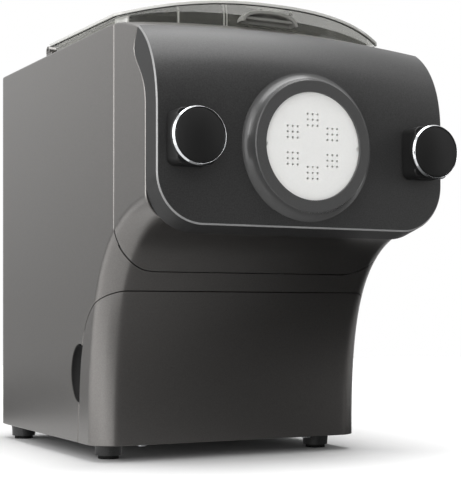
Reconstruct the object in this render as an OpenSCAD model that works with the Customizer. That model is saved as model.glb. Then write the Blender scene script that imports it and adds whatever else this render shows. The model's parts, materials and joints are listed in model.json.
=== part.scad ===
// Electric pasta maker: a tall housing with an overhanging head, a removable front
// panel held by two knobs, a smoky lid over the mixing chamber and a storage drawer.
// Origin: on the table, under the centre of the machine. Front faces -Y, up is +Z.
// In the side view, "depth" is counted backwards from the front panel's face.

/* [Housing] */
// Width over the side walls
body_w = 215; // [211:1:221]
// Depth from the panel's face to the rear wall
body_d = 321.7; // [318:0.1:330]
// Wall thickness of the moulded housing
wall = 3; // [2.4:0.1:3.4]
// Height of the side walls where the lid starts
side_h = 296.4; // [294:0.1:300]
// How much the side walls rise towards the rear
side_rise = 4.3; // [2:0.1:6]
// How much the top is arched from side to middle, at the front
crown = 6; // [3:0.5:7]
// How much the top is arched at the rear
crown_rear = 1.5; // [0.5:0.1:2.5]
// Rounding of the front edges and of the sweep under the head
edge_r = 19; // [15:1:22]
// Rounding of the rear upright edges
rear_r = 8; // [4:1:12]
// Width of the visible seams between mouldings
seam = 0.6; // [0.4:0.1:0.8]

/* [Sweep under the head] */
// Depth of the lower front behind the panel's face
lower_t = 101.5; // [99:0.5:104]
// Height of the head's underside at the panel
head_z = 162.2; // [160:0.1:165]
// Reach of the straight lower front into the sweep
sweep_rise = 79; // [72:1:86]
// How far behind the lower front the sweep starts to turn
sweep_turn = 6.8; // [4:0.1:10]
// Drop of the sweep's upper handle below the head's underside
sweep_drop = 9.5; // [7:0.5:12]
// Height of the neck seam
neck_z = 132; // [129:0.5:135]
// Rounding of the neck seam's lower corners
neck_r = 36; // [32:1:40]
// Depth of the upright seam between head and main body
neck_t = 69.4; // [68:0.1:72]

/* [Front panel] */
// Depth of the panel's side wall
panel_side = 16.8; // [15:0.1:18]
// Thickness of the panel's moulding
panel_wall = 2.6; // [2.2:0.1:3]
// Height of the panel's lower edge at its face
panel_bottom = 159; // [157.5:0.1:160]
// Drop of the lower edge from face to rear
panel_drop = 4.5; // [3:0.5:5]
// Height of the roll, up to the panel's top edge
panel_roll_z = 58.4; // [54:0.1:62]
// Drop from the side walls' top to the panel's top edge
panel_top = 10; // [9.4:0.1:11.4]
// Depth of the panel's top edge
panel_top_t = 29.5; // [28:0.5:31]
// Depth of the grip notch at the panel's sides
panel_grip_t = 35.2; // [33:0.1:37]
// Rounding of the panel's lower corners
panel_r = 32; // [28:1:36]
// Chamfer round the panel's face
panel_chamfer = 1.6; // [1:0.1:2]
// How far the panel can be pulled off
panel_travel = 60; // [30:5:70]

/* [Outlet] */
// Height of the drive axis, the disc and the knobs
drive_z = 211.5; // [210:0.5:213]
// Radius of the disc's visible face
disc_view_r = 34.9; // [34:0.1:35.5]
// Overlap of the outlet ring over the disc's edge
disc_lap = 3.1; // [2.5:0.1:3.5]
// Thickness of a shaping disc
disc_h = 6; // [5:0.5:7]
// Radius of the ring's flat front
ring_r = 42.6; // [42:0.1:44]
// Radius of the ring's flared base
ring_base_r = 48.5; // [47:0.5:50]
// Height of the ring's face in front of the panel
ring_out = 8.6; // [8:0.1:9.5]
// Thickness of the ring's lip in front of the disc
lip_h = 1.5; // [1:0.1:2]
// Radius of a pasta hole
hole_r = 0.8; // [0.6:0.1:0.9]
// Spacing of the pasta holes in a group
hole_pitch = 3.7; // [3.4:0.1:4]
// Radius of the circle of hole groups
group_r = 17.2; // [16:0.1:18]
// Number of hole groups
groups = 6; // [3:1:6]
// Inner radius of the extrusion tube
tube_r = 28.5; // [27:0.5:29.5]
// Wall of the extrusion tube
tube_wall = 3.5; // [3:0.5:4]

/* [Knobs] */
// Radius of a knob
knob_r = 18.2; // [17:0.1:19]
// Height of a knob's face in front of the panel
knob_out = 21.3; // [20:0.1:23]
// Distance of a knob's axis from the side wall
knob_side = 19.9; // [19.5:0.1:21.5]
// Depth of the knob's chrome ring
knob_ring_h = 3.4; // [2.5:0.1:4]
// Depth of the black rim behind it
knob_rim_h = 3.2; // [2.5:0.1:4]
// Radius of the knob's stud
stud_r = 5; // [4.5:0.1:5.5]
// Depth that the stud reaches behind the panel's face
stud_t = 44; // [40:1:48]

/* [Lid] */
// Depth of the lid's front edge in the middle
lid_front_t = 46; // [44:1:50]
// Depth of the lid's front corners
lid_corner_t = 75; // [73:1:78]
// Reach of the lid behind the trough
lid_behind = 10.5; // [8.5:0.5:12]
// Inset of the lid's sides from the side walls
lid_side = 3.5; // [2.5:0.5:5.5]
// Height of the lid over the side wall, at its front corners
lid_side_rise = 7.4; // [7:0.1:8.5]
// Height of the lid's crest over the side wall
lid_top = 18.6; // [17.6:0.1:19.6]
// Height of the lid's rear edge over the side wall
lid_rear_z = 11.6; // [10.6:0.1:12.6]
// Thickness of the lid's cover
lid_h = 2.5; // [2:0.1:3]
// Inset of the lid's skirt from its rim
skirt_in = 5; // [4:0.5:6]
// Radius of the lid's hinge pins
pin_r = 2; // [1.8:0.1:2.2]

/* [Mixing chamber] */
// Inner radius of the trough
trough_r = 60; // [57:0.5:61]
// Wall of the trough
trough_wall = 2.5; // [2:0.1:3]
// Depth of the trough's front wall
trough_t = 72; // [71:0.5:74]
// Gap between the paddle's tips and the trough
paddle_gap = 4; // [2:0.5:6]
// Pitch of the extrusion screw
screw_pitch = 26; // [22:1:30]
// Gap between the screw and its tube
screw_gap = 0.9; // [0.7:0.1:1.2]

/* [Drawer] */
// Depth of the drawer front's rear edge at its foot
drawer_side_t = 137.3; // [135:0.1:139]
// Height of the drawer front's top edge
drawer_top = 120.2; // [118:0.1:122]
// How far the drawer opens
drawer_travel = 80; // [60:5:85]
// Room between the drawer's bay and the side walls
bay_room = 9.5; // [8.5:0.5:13]
// Height of the tray's walls
tray_h = 72; // [60:1:74]
// Wall of the tray and its bay
tray_wall = 2; // [1.6:0.1:2.2]
// Running gap round the tray
tray_gap = 1; // [0.8:0.1:1.2]
// Radius of a stored disc
store_r = 32; // [28:1:33]

/* [Drive] */
// Module of the gears
gear_m = 2; // [1.9:0.05:2.05]
// Teeth of the two large gears
gear_teeth = 36; // [34:2:38]
// Teeth of the two small gears
pinion_teeth = 12; // [11:1:13]
// Face width of a gear
gear_h = 9; // [7:0.5:9.5]
// Radius of the drive shaft
shaft_r = 6; // [5:0.5:7]
// Radius of the motor's shaft
motor_shaft_r = 4; // [3.5:0.1:4.2]
// Radius of the motor's can
motor_r = 38; // [34:1:40]
// Length of the motor's can
motor_l = 52; // [48:1:56]
// Room between the motor's fan and the rear wall
rear_room = 9.7; // [6:0.1:14]

/* [Feet and base] */
// Height of a foot's rubber pad
pad_h = 2.5; // [2:0.5:3.5]
// Radius of a rubber pad
pad_r = 7.5; // [6.5:0.5:8.5]
// Height of a foot's collar
collar_h = 9; // [8:0.5:10]
// Radius of a foot's collar
collar_r = 10; // [9:0.5:11]
// Thickness of the base plate
base_h = 3; // [2.5:0.1:3.5]

/* [Controls] */
// Distance from the control deck to the side walls
deck_side = 23.5; // [21.5:0.5:28]
// Gap between the lid and the control deck
deck_gap = 10.5; // [9:0.5:12]
// Distance from the control deck to the rear wall
deck_room = 11.7; // [10:0.1:16]
// Radius of a round button
button_r = 8; // [7:0.5:9]
// Travel of a button
button_travel = 1.2; // [0.8:0.1:1.5]

/* [Hidden] */
$fn = 64;

// Colours of the finishes
housing_c = "#6d6b68";
panel_c = "#3d3d3d";
black_c = "#1c1c1c";
white_c = "#e8e8e6";
steel_c = "#b8b8b8";
smoke_c = [0.3, 0.31, 0.3, 0.45];
frame_c = "#8b8d8f";
brass_c = "#b08d4a";
nylon_c = "#d9d4c4";

half_w = body_w / 2;
knob_x = half_w - knob_side;
lid_half = half_w - lid_side;
crest_z = side_h + lid_top;
rear_z = side_h + lid_rear_z;
panel_high = side_h - panel_top;
face_y = -(body_d + knob_out) / 2 + knob_out;
base_z = pad_h + collar_h;
head_t = panel_side - 2;
eps = 0.05;
run = 0.05;
fit = 0.2;

// The drive takes the depth between trough and rear wall: bulkhead, two gear stages, motor, fan
bulk_gap = 4;
bulk_h = 4;
cover_h = 3;
gear_gap = 3;
stage_gap = 2;
box_wall = 4;
fan_gap = 9;
fan_h = 5;
train_l = bulk_gap + bulk_h + cover_h + gear_gap + 2 * gear_h + stage_gap + box_wall;
trough_l = body_d - wall - rear_room - fan_h - fan_gap - motor_l - train_l - trough_t;
lid_rear_t = trough_t + trough_l + lid_behind;
deck_t = lid_rear_t + deck_gap;

// A depth behind the panel's face, as a Y coordinate
function at(t) = face_y + t;
function bez(p, u) =
    pow(1 - u, 3) * p[0] + 3 * pow(1 - u, 2) * u * p[1] + 3 * (1 - u) * u * u * p[2] + pow(u, 3) * p[3];
function bez_way(p, u) =
    3 * pow(1 - u, 2) * (p[1] - p[0]) + 6 * (1 - u) * u * (p[2] - p[1]) + 3 * u * u * (p[3] - p[2]);
function arc(c, r, a0, a1, n) =
    [for (i = [0:n]) c + r * [cos(a0 + (a1 - a0) * i / n), sin(a0 + (a1 - a0) * i / n)]];

// The front of the housing in the side view, as [depth, height]
sweep = [
    [lower_t, base_z], [lower_t, base_z + sweep_rise],
    [lower_t - sweep_turn, head_z - sweep_drop], [head_t, head_z]
];
sweep_n = 12;

// The sweep moved inwards by w
function sweep_path(w) = [
    for (i = [0:sweep_n])
        let (u = i / sweep_n, way = bez_way(sweep, u))
        bez(sweep, u) + w * [way[1], -way[0]] / norm(way)
];
function near(p, a, b) =
    let (ab = b - a, k = max(0, min(1, (p - a) * ab / (ab * ab)))) norm(p - a - k * ab);
function to_path(p, path) = min([for (i = [1:len(path) - 1]) near(p, path[i - 1], path[i])]);

// How far the side stands back at a point of the side view, for a rolled edge along the path
function roll_in(p, r, path) = let (d = to_path(p, path)) d >= r ? 0 : r - sqrt(r * r - (r - d) * (r - d));

// The housing's outline at a height, moved inwards by w
edge_steps = [0, 0.5, 2, 5, 9, 14, 19, 27, 38, 52, 70];
function outline(z, w) = let (
    path = sweep_path(w),
    front = max(head_t + w, lookup(z, [for (p = path) [p[1], p[0]]])),
    right = [
        for (s = edge_steps)
            [half_w - w - roll_in([front + s, z], edge_r - w, path), at(front + s)]
    ],
    corner = arc([half_w - rear_r, at(body_d) - rear_r], rear_r - w, 0, 90, 5),
    side = concat(right, corner)
) concat(side, [for (i = [len(side) - 1:-1:0]) [-side[i][0], side[i][1]]]);

// The solid between two outlines in space
module between(a, b) hull() polyhedron(concat(a, b), [[for (i = [0:len(a) + len(b) - 1]) i]]);
function slice(z, w) = [for (p = outline(z, w)) [p[0], p[1], z]];

// The housing without its top, moved inwards by w and open above
module form(w) {
    path = sweep_path(w);
    levels = concat(
        [for (p = path) p[1]], [for (k = [0.2, 0.45, 0.75, 1]) head_z + w + k * (edge_r - w)], [side_h + 30]
    );
    for (i = [1:len(levels) - 1]) between(slice(levels[i - 1], w), slice(levels[i], w));
}

// The top's line in the side view at a distance x from the middle
brow = [[18, side_h - 17.9], [34, side_h - 7.9], [54, side_h - 0.8], [80, side_h]];
function arch(x) = 1 - pow(x / half_w, 2);
function top_line(x, w) = concat(
    [[at(-30), side_h - 48 + crown * arch(x) - w]],
    [for (i = [0:6]) let (p = bez(brow, i / 6)) [at(p[0]), p[1] + crown * arch(x) - w]],
    [[at(body_d + 2), side_h + side_rise + crown_rear * arch(x) - w]]
);
// Height of the housing's top at a depth behind the lid's front corners
function top_at(t, x) =
    let (k = (t - 80) / (body_d - 78))
    side_h + side_rise * k + (crown + (crown_rear - crown) * k) * arch(x);
function side_view(x, points) = [for (p = points) [x, p[0], p[1]]];
cap_steps = [-1, -0.8, -0.55, -0.28, 0, 0.28, 0.55, 0.8, 1];
function cap_view(x, w) = side_view(x, concat([[at(body_d + 2), -9], [at(-30), -9]], top_line(x, w)));
module cap(w) for (i = [1:len(cap_steps) - 1])
    between(cap_view(cap_steps[i - 1] * half_w, w), cap_view(cap_steps[i] * half_w, w));
module shell_form(w) intersection() {
    form(w);
    cap(w);
}

// The region of the head, with its seam's round lower corners. Below neck_step it reaches
// further back, behind the sweep.
neck_step = 12;
neck_back = 14;
module neck_shape(drop) translate([0, -drop]) {
    translate([-half_w - 2, neck_z + neck_r]) square([body_w + 4, side_h]);
    translate([-half_w + neck_r, neck_z]) square([body_w - 2 * neck_r, neck_r + 1]);
    for (s = [-1, 1]) translate([s * (half_w - neck_r), neck_z + neck_r]) circle(neck_r);
}
module head_zone(grow) {
    across = 80;
    translate([0, at(neck_t + grow), 0]) rotate([90, 0, 0]) linear_extrude(across) neck_shape(grow);
    intersection() {
        translate([0, at(neck_t + neck_back), 0]) rotate([90, 0, 0])
            linear_extrude(across) neck_shape(grow);
        translate([-half_w, at(0), 0]) cube([body_w, across + neck_back, neck_z + neck_step + grow]);
    }
}

// The rear edge of the front panel in the side view, and all that lies before it
grip_z = panel_high - 13.8;
under_z = head_z - 72;
panel_edge = concat(
    [for (i = [0:7]) bez([
        [panel_side, grip_z - 36.6], [panel_side + 0.8, grip_z - 16.6],
        [panel_grip_t - 2, grip_z - 11.6], [panel_grip_t, grip_z]
    ], i / 7)],
    [[panel_grip_t - 1.2, grip_z + 3.9], [panel_top_t, panel_high - 1], [panel_top_t - 3, side_h]]
);
module panel_zone(back) translate([-half_w - 1, 0, 0]) rotate([90, 0, 90]) linear_extrude(body_w + 2)
    polygon(concat(
        [[at(-40), side_h + 40], [at(-40), under_z], [at(panel_side + back), under_z]],
        [for (p = panel_edge) [at(p[0] + back), p[1]]],
        [[at(panel_top_t - 3 + back), side_h + 40]]
    ));

// The drawer front's rear edge in the side view, and all that lies before it
drawer_edge = [
    [drawer_side_t, base_z - 1], [drawer_side_t - 7, base_z + 80],
    [drawer_side_t - 7, drawer_top - 17], [lower_t - 21.5, drawer_top]
];
module drawer_zone() translate([-half_w - 1, 0, 0]) rotate([90, 0, 90]) linear_extrude(body_w + 2)
    polygon(concat(
        [[at(lower_t - 60), drawer_top + 1.5], [at(lower_t - 60), -5], [at(drawer_side_t), -5]],
        [for (i = [0:12]) let (p = bez(drawer_edge, i / 12)) [at(p[0]), p[1]]]
    ));

// Finger recesses behind the drawer front's rear edges
recess_t = 134;
recess_z = 61;
recess_size = [9, 15.5, 19.5];
module recess(s, grow) translate([s * half_w, at(recess_t), recess_z]) scale(recess_size + grow * [1, 1, 1])
    sphere(1, $fn = 32);

// Openings of the housing's top
deck_half = half_w - deck_side;
deck_l = body_d - deck_t - deck_room;
mouth_half = trough_r + trough_wall + 3.5;
mouth_front = trough_t - 1;
mouth_rear = trough_t + trough_l + 2;
module mouth() translate([-mouth_half, at(mouth_front), side_h - 20])
    cube([2 * mouth_half, mouth_rear - mouth_front, 50]);
module deck_hole() translate([-deck_half - fit, at(deck_t) - fit, side_h - 20])
    cube([2 * (deck_half + fit), deck_l + 2 * fit, 50]);

// Rear wall openings
grille_half = 52;
grille_z = 40;
grille_h = 34;
gland_x = 35.5 - half_w;
gland_z = 34;
gland_r = 7;

module body_shell() color(housing_c) difference() {
    union() {
        difference() {
            shell_form(0);
            shell_form(wall);
        }
        for (s = [-1, 1]) intersection() {
            recess(s, tray_wall);
            translate([0, at(recess_t), recess_z]) cube([body_w - 2 * wall - 1, 80, 60], center = true);
        }
        for (s = [-1, 1]) intersection() {
            recess(s, tray_wall);
            translate([-half_w, at(drawer_side_t), 0]) cube([body_w, 60, 120]);
        }
    }
    translate([-half_w, at(0), base_z - 5]) cube([body_w, body_d, 5 + eps]);
    translate([-half_w + wall, at(lower_t), base_z - 1])
        cube([body_w - 2 * wall, body_d - lower_t - wall, base_h + 1]);
    head_zone(seam);
    for (o = [0, seam]) translate([0, o, o]) drawer_zone();
    panel_zone(seam);
    for (s = [-1, 1]) recess(s, 0);
    mouth();
    deck_hole();
    translate([-grille_half - fit, at(body_d) - wall - 1, grille_z - fit])
        cube([2 * (grille_half + fit), wall + 2, grille_h + 2 * fit]);
    translate([gland_x, at(body_d) + 1, gland_z]) rotate([90, 0, 0])
        cylinder(r = gland_r + fit, h = wall + 2);
}

module head_housing() color(housing_c) difference() {
    intersection() {
        shell_form(0);
        head_zone(0);
    }
    difference() {
        shell_form(wall);
        panel_zone(seam + wall);
    }
    panel_zone(seam);
    translate([0, at(-5), drive_z]) rotate([-90, 0, 0]) cylinder(r = disc_view_r + disc_lap + 2, h = 60);
    for (s = [-1, 1]) translate([s * knob_x, at(-5), drive_z]) rotate([-90, 0, 0])
        cylinder(r = stud_r + 1.2, h = 60);
}

// Base and feet
foot_spots = [
    [half_w - 21.5, lower_t + 31.5], [-half_w + 21.5, lower_t + 31.5],
    [half_w - 14.5, body_d - 17.7], [-half_w + 14.5, body_d - 17.7]
];
screw_spots = [
    [half_w - 40, lower_t + 14], [-half_w + 40, lower_t + 14],
    [half_w - 40, body_d - 14], [-half_w + 40, body_d - 14]
];
screw_r = 1.6;
head_r = 3.2;
head_h = 2;
boss_r = 4.5;
boss_h = 2;
module base_plate() color(black_c) difference() {
    union() {
        translate([0, 0, base_z]) linear_extrude(base_h) polygon(outline(base_z + base_h, wall + fit));
        for (p = screw_spots) translate([p[0], at(p[1]), base_z]) cylinder(r = boss_r, h = base_h + boss_h);
    }
    for (p = screw_spots) translate([p[0], at(p[1]), base_z - 1]) cylinder(r = screw_r, h = base_h + 4);
}
module base_screws() color(steel_c) for (p = screw_spots) translate([p[0], at(p[1]), base_z - head_h]) {
    cylinder(r = head_r, h = head_h);
    cylinder(r = screw_r, h = head_h + base_h + boss_h);
}
collar_draft = 0.6;
plug_r = 3;
plug_h = 3;
module foot_collars() color(black_c) for (p = foot_spots) translate([p[0], at(p[1]), 0]) difference() {
    translate([0, 0, pad_h]) cylinder(r1 = collar_r - collar_draft, r2 = collar_r, h = collar_h);
    translate([0, 0, pad_h - 1]) cylinder(r = plug_r, h = plug_h + 1);
}
module foot_pads() color("#101010") for (p = foot_spots) translate([p[0], at(p[1]), 0]) {
    cylinder(r = pad_r, h = pad_h);
    cylinder(r = plug_r, h = pad_h + plug_h);
}

// Drawer bay: a sleeve for the tray, its front flange and a ceiling under the neck
runner_room = 2;
bay_half = half_w - wall - bay_room - tray_wall;
tray_half = bay_half - tray_gap - runner_room;
bay_low = base_z + base_h + fit;
bay_high = bay_low + tray_wall + tray_gap + tray_h + 12;
bay_t = drawer_side_t + 2;
trough_end = trough_t + trough_l;
bulk_t = trough_end + bulk_gap;
bay_end = trough_end;
ceiling_z = drawer_top + 2;
module drawer_bay() color(black_c) {
    difference() {
        translate([-bay_half - tray_wall, at(bay_t), bay_low])
            cube([2 * (bay_half + tray_wall), bay_end - bay_t, bay_high - bay_low]);
        translate([-bay_half, at(bay_t) - 1, bay_low + tray_wall])
            cube([2 * bay_half, bay_end - bay_t - tray_wall + 1, bay_high - bay_low - 2 * tray_wall]);
    }
    difference() {
        translate([-half_w + wall + fit, at(bay_t), bay_low])
            cube([body_w - 2 * (wall + fit), tray_wall, ceiling_z - bay_low]);
        translate([-bay_half - 1, at(bay_t) - 1, bay_low - 1])
            cube([2 * (bay_half + 1), tray_wall + 2, bay_high - bay_low]);
        for (s = [-1, 1]) translate([s * half_w, at(bay_t) - 1, recess_z])
            rotate([-90, 0, 0]) scale([1, 2.1]) cylinder(r = recess_size[0] + tray_wall + 1, h = 10);
    }
    intersection() {
        translate([0, 0, ceiling_z]) linear_extrude(tray_wall) polygon(outline(ceiling_z, wall + 1));
        translate([-half_w, at(0), ceiling_z]) cube([body_w, bay_t + tray_wall, tray_wall]);
    }
}
rail_z = bay_low + 22;
rail_h = bay_half - tray_half - fit;
module drawer_runners() color(steel_c) for (s = [-1, 1])
    translate([s * (bay_half - rail_h / 2) - rail_h / 2, at(bay_t + 3), rail_z])
        cube([rail_h, bay_end - bay_t - 10, 6]);

// Chassis: a front plate with the knob sockets, two rails and the rear bulkhead
front_t = panel_side + seam + wall + fit;
frame_half = half_w - wall - 3;
plate_down = 29.3;
plate_up = 24.7;
socket_r = stud_r + 4;
saddles = [trough_end - 85, trough_end - 20];
saddle_l = 4;
saddle_h = trough_r + trough_wall + 6;
module chassis_frame() color(frame_c) difference() {
    union() {
        translate([-frame_half, at(front_t), drive_z - plate_down])
            cube([2 * frame_half, 3, plate_down + plate_up]);
        for (s = [-1, 1]) translate([s * (frame_half - 1.5) - 1.5, at(front_t), drive_z - 12])
            cube([3, bulk_t - front_t + 1, 24]);
        translate([-frame_half, at(bulk_t), base_z + base_h + fit])
            cube([2 * frame_half, bulk_h, side_h - 12 - base_z - base_h]);
        for (t = saddles) translate([-frame_half, at(t), drive_z - saddle_h])
            cube([2 * frame_half, saddle_l, saddle_h]);
        for (s = [-1, 1]) translate([s * knob_x, at(front_t), drive_z]) rotate([-90, 0, 0])
            cylinder(r = socket_r, h = stud_t - front_t + 4);
    }
    along_y(saddles[0] - 1, bulk_t - saddles[0]) circle(trough_r + trough_wall + fit);
    for (s = [-1, 1]) translate([s * knob_x, at(0), drive_z]) rotate([-90, 0, 0])
        cylinder(r = stud_r + 0.3, h = stud_t + 1);
    translate([0, at(0), drive_z]) rotate([-90, 0, 0])
        cylinder(r = tube_r + tube_wall + fit, h = front_t + 10);
    translate([0, at(bulk_t) - 1, drive_z]) rotate([-90, 0, 0]) cylinder(r = shaft_r + 3, h = bulk_h + 2);
    for (p = gearbox_bolts) translate([p[0], at(bulk_t) - 1, p[1]]) rotate([-90, 0, 0])
        cylinder(r = bolt_r, h = bulk_h + 2);
}

// Mixing chamber, extrusion tube and shaping disc
rim_z = side_h + 1;
module trough_shape(r) {
    circle(r);
    translate([-r, 0]) square([2 * r, rim_z - drive_z]);
}
module along_y(t, h) translate([0, at(t + h), drive_z]) rotate([90, 0, 0]) linear_extrude(h) children();
module mixing_chamber() color(smoke_c) difference() {
    union() {
        along_y(trough_t, trough_l) trough_shape(trough_r + trough_wall);
        translate([-trough_r - trough_wall - 2, at(trough_t), rim_z - 3])
            cube([2 * (trough_r + trough_wall + 2), trough_l, 3]);
    }
    translate([0, 0, eps]) along_y(trough_t + 3, trough_l - 6) trough_shape(trough_r);
    along_y(trough_t - 1, 5) circle(tube_r);
    along_y(trough_end - 4, 5) circle(shaft_r + 1);
}
disc_r = disc_view_r + disc_lap;
disc_t = -ring_out + lip_h + 0.3;
tube_t = disc_t + disc_h;
module extrusion_tube() color(white_c) difference() {
    union() {
        along_y(tube_t, trough_t - tube_t) circle(tube_r + tube_wall);
        along_y(tube_t, 4) circle(disc_r);
        along_y(trough_t - 4, 4) circle(tube_r + tube_wall + 8);
    }
    along_y(tube_t - 1, trough_t - tube_t + 2) circle(tube_r);
}
module shaping_disc() color(white_c) difference() {
    union() {
        along_y(disc_t, 3.2) circle(disc_r);
        along_y(disc_t, disc_h) difference() {
            circle(disc_r);
            circle(tube_r);
        }
    }
    for (g = [0:groups - 1], i = [-1:1], k = [-1:1]) {
        a = 90 + g * 360 / groups;
        along_y(disc_t - 1, 6) translate(group_r * [cos(a), sin(a)] + hole_pitch * [i, k])
            circle(hole_r, $fn = 16);
    }
    for (s = [-1, 1]) along_y(disc_t - 1, 2.5) translate([s * disc_view_r, 0]) circle(1.6, $fn = 24);
}

// Gears
function involute(rb, r) = let (c = min(1, rb / r), a = acos(c)) tan(a) * 180 / PI - a;
module gear(teeth, h) {
    r = gear_m * teeth / 2;
    rb = r * cos(20);
    root = r - 1.25 * gear_m;
    tip = r + 0.95 * gear_m;
    half = 90 / teeth + involute(rb, r) - 1.1 * 360 / teeth / 24;
    rs = [max(rb, root + 0.3), (max(rb, root) + tip) / 2, tip];
    function spot(d, a) = d * [cos(a), sin(a)];
    linear_extrude(h) polygon([for (i = [0:teeth - 1]) let (a = i * 360 / teeth) each concat(
        [spot(root, a - half)], [for (d = rs) spot(d, a - half + involute(rb, d))],
        [for (j = [2:-1:0]) spot(rs[j], a + half - involute(rb, rs[j]))], [spot(root, a + half)]
    )]);
}
module gear_on(z, t, teeth, h, turn) translate([0, at(t + h), z]) rotate([90, 0, 0]) rotate(turn)
    gear(teeth, h);
module gear_bore(z, r) translate([0, at(stage_two) - 1, z]) rotate([-90, 0, 0])
    cylinder(r = r + run, h = 2 * gear_h + 6);

gear_r = gear_m * gear_teeth / 2;
pinion_r = gear_m * pinion_teeth / 2;
mid_z = drive_z - gear_r - pinion_r;
motor_z = mid_z - gear_r - pinion_r;
box_t = bulk_t + bulk_h;
stage_two = box_t + cover_h + gear_gap;
stage_one = stage_two + gear_h + stage_gap;
box_end = stage_one + gear_h + box_wall;
box_half = gear_r + 2 * gear_m + 4;
box_low = motor_z - box_half / 2;
box_high = drive_z + box_half;
bolt_r = 2;
bolt_head_r = 3.6;
bolt_head_h = 2.4;
bolt_in = 9;
gearbox_bolts = [
    for (x = [-1, 1], z = [box_low + 6, box_high - 6]) [x * (box_half - 1), z]
];
pinion_turn = 180 / pinion_teeth + 90;
module output_gear() color(nylon_c) difference() {
    gear_on(drive_z, stage_two, gear_teeth, gear_h, 90);
    gear_bore(drive_z, shaft_r);
}
module reduction_gear() color(nylon_c) difference() {
    union() {
        gear_on(mid_z, stage_two, pinion_teeth, stage_one - stage_two + 1, pinion_turn);
        gear_on(mid_z, stage_one, gear_teeth, gear_h, 90);
    }
    gear_bore(mid_z, motor_shaft_r);
}
module drive_pinion() color(brass_c) difference() {
    gear_on(motor_z, stage_one, pinion_teeth, gear_h, pinion_turn);
    gear_bore(motor_z, motor_shaft_r);
}
module gear_pin() color(steel_c) translate([0, at(box_t + 0.5), mid_z]) rotate([-90, 0, 0])
    cylinder(r = motor_shaft_r, h = box_end - box_t - 1);
module gearbox_cover() color(frame_c) difference() {
    translate([-box_half - 6, at(box_t), box_low]) cube([2 * (box_half + 6), cover_h, box_high - box_low]);
    translate([0, at(box_t) - 1, drive_z]) rotate([-90, 0, 0]) cylinder(r = shaft_r + 3, h = cover_h + 2);
    translate([0, at(box_t) - 1, mid_z]) rotate([-90, 0, 0]) cylinder(r = motor_shaft_r, h = cover_h + 2);
    for (p = gearbox_bolts) translate([p[0], at(box_t) - 1, p[1]]) rotate([-90, 0, 0])
        cylinder(r = bolt_r, h = cover_h + 2);
}
module gearbox_housing() color(frame_c) difference() {
    translate([-box_half - 6, at(box_t + cover_h), box_low])
        cube([2 * (box_half + 6), box_end - box_t - cover_h, box_high - box_low]);
    translate([-box_half + 4, at(box_t + cover_h) - 1, box_low + 3])
        cube([2 * (box_half - 4), box_end - box_t - cover_h - 2, box_high - box_low - 6]);
    translate([0, at(box_end) - 5, drive_z]) rotate([-90, 0, 0]) cylinder(r = shaft_r + run, h = 7);
    translate([0, at(box_end) - 5, mid_z]) rotate([-90, 0, 0]) cylinder(r = motor_shaft_r, h = 7);
    translate([0, at(box_end) - 5, motor_z]) rotate([-90, 0, 0]) cylinder(r = motor_shaft_r + 1, h = 7);
    for (p = gearbox_bolts) translate([p[0], at(box_t + cover_h) - 1, p[1]]) rotate([-90, 0, 0])
        cylinder(r = bolt_r, h = bolt_in + 3);
}
module gearbox_screws() color(steel_c) for (p = gearbox_bolts) translate([p[0], at(bulk_t), p[1]])
    rotate([-90, 0, 0]) {
        translate([0, 0, -bolt_head_h]) cylinder(r = bolt_head_r, h = bolt_head_h);
        translate([0, 0, -1]) cylinder(r = bolt_r, h = bulk_h + cover_h + bolt_in);
    }
module drive_bushes() color(brass_c) difference() {
    along_y(bulk_t, bulk_h + cover_h) circle(shaft_r + 3);
    along_y(bulk_t - 1, bulk_h + cover_h + 2) circle(shaft_r + run);
}
module drive_shaft() color(steel_c) {
    along_y(trough_end - 12, box_end - trough_end + 11) circle(shaft_r);
}

// Motor
can_wall = 3;
vent_r = 6;
vent_at = 24;
can_t = box_end;
fan_t = can_t + motor_l + fan_gap;
fan_hub_r = 9;
fan_blades = 9;
blade_h = 1.4;
module about_motor(t) translate([0, at(t), motor_z]) rotate([-90, 0, 0]) children();
module motor_can() color(steel_c) difference() {
    about_motor(can_t) cylinder(r = motor_r, h = motor_l);
    about_motor(can_t + can_wall) cylinder(r = motor_r - can_wall, h = motor_l);
    about_motor(can_t - 1) cylinder(r = motor_shaft_r + run, h = 6);
}
module motor_end_bell() color(frame_c) difference() {
    union() {
        about_motor(can_t + motor_l) cylinder(r = motor_r, h = can_wall);
        about_motor(can_t + motor_l) cylinder(r = 9, h = 6);
    }
    about_motor(can_t + motor_l - 1) cylinder(r = motor_shaft_r + run, h = 9);
    for (a = [45:90:315]) about_motor(can_t + motor_l - 1) rotate(a) translate([vent_at, 0, 0])
        cylinder(r = vent_r, h = can_wall + 6);
}
module motor_armature() color(brass_c) {
    about_motor(stage_one - 2) cylinder(r = motor_shaft_r, h = fan_t - stage_one + 8);
    about_motor(can_t + 9) cylinder(r = motor_r - 12, h = motor_l - 18);
    about_motor(can_t + motor_l - 8) cylinder(r = 11, h = 6);
}
module cooling_fan() color(black_c) difference() {
    union() {
        about_motor(fan_t) cylinder(r = fan_hub_r, h = fan_h);
        about_motor(fan_t) cylinder(r = motor_r - 6, h = 1.2);
        for (a = [0:360 / fan_blades:359]) about_motor(fan_t) rotate(a)
            translate([fan_hub_r - 1, -blade_h / 2, 0]) cube([motor_r - fan_hub_r - 6, blade_h, fan_h]);
    }
    about_motor(fan_t - 1) cylinder(r = motor_shaft_r + run, h = fan_h + 2);
}

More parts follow.
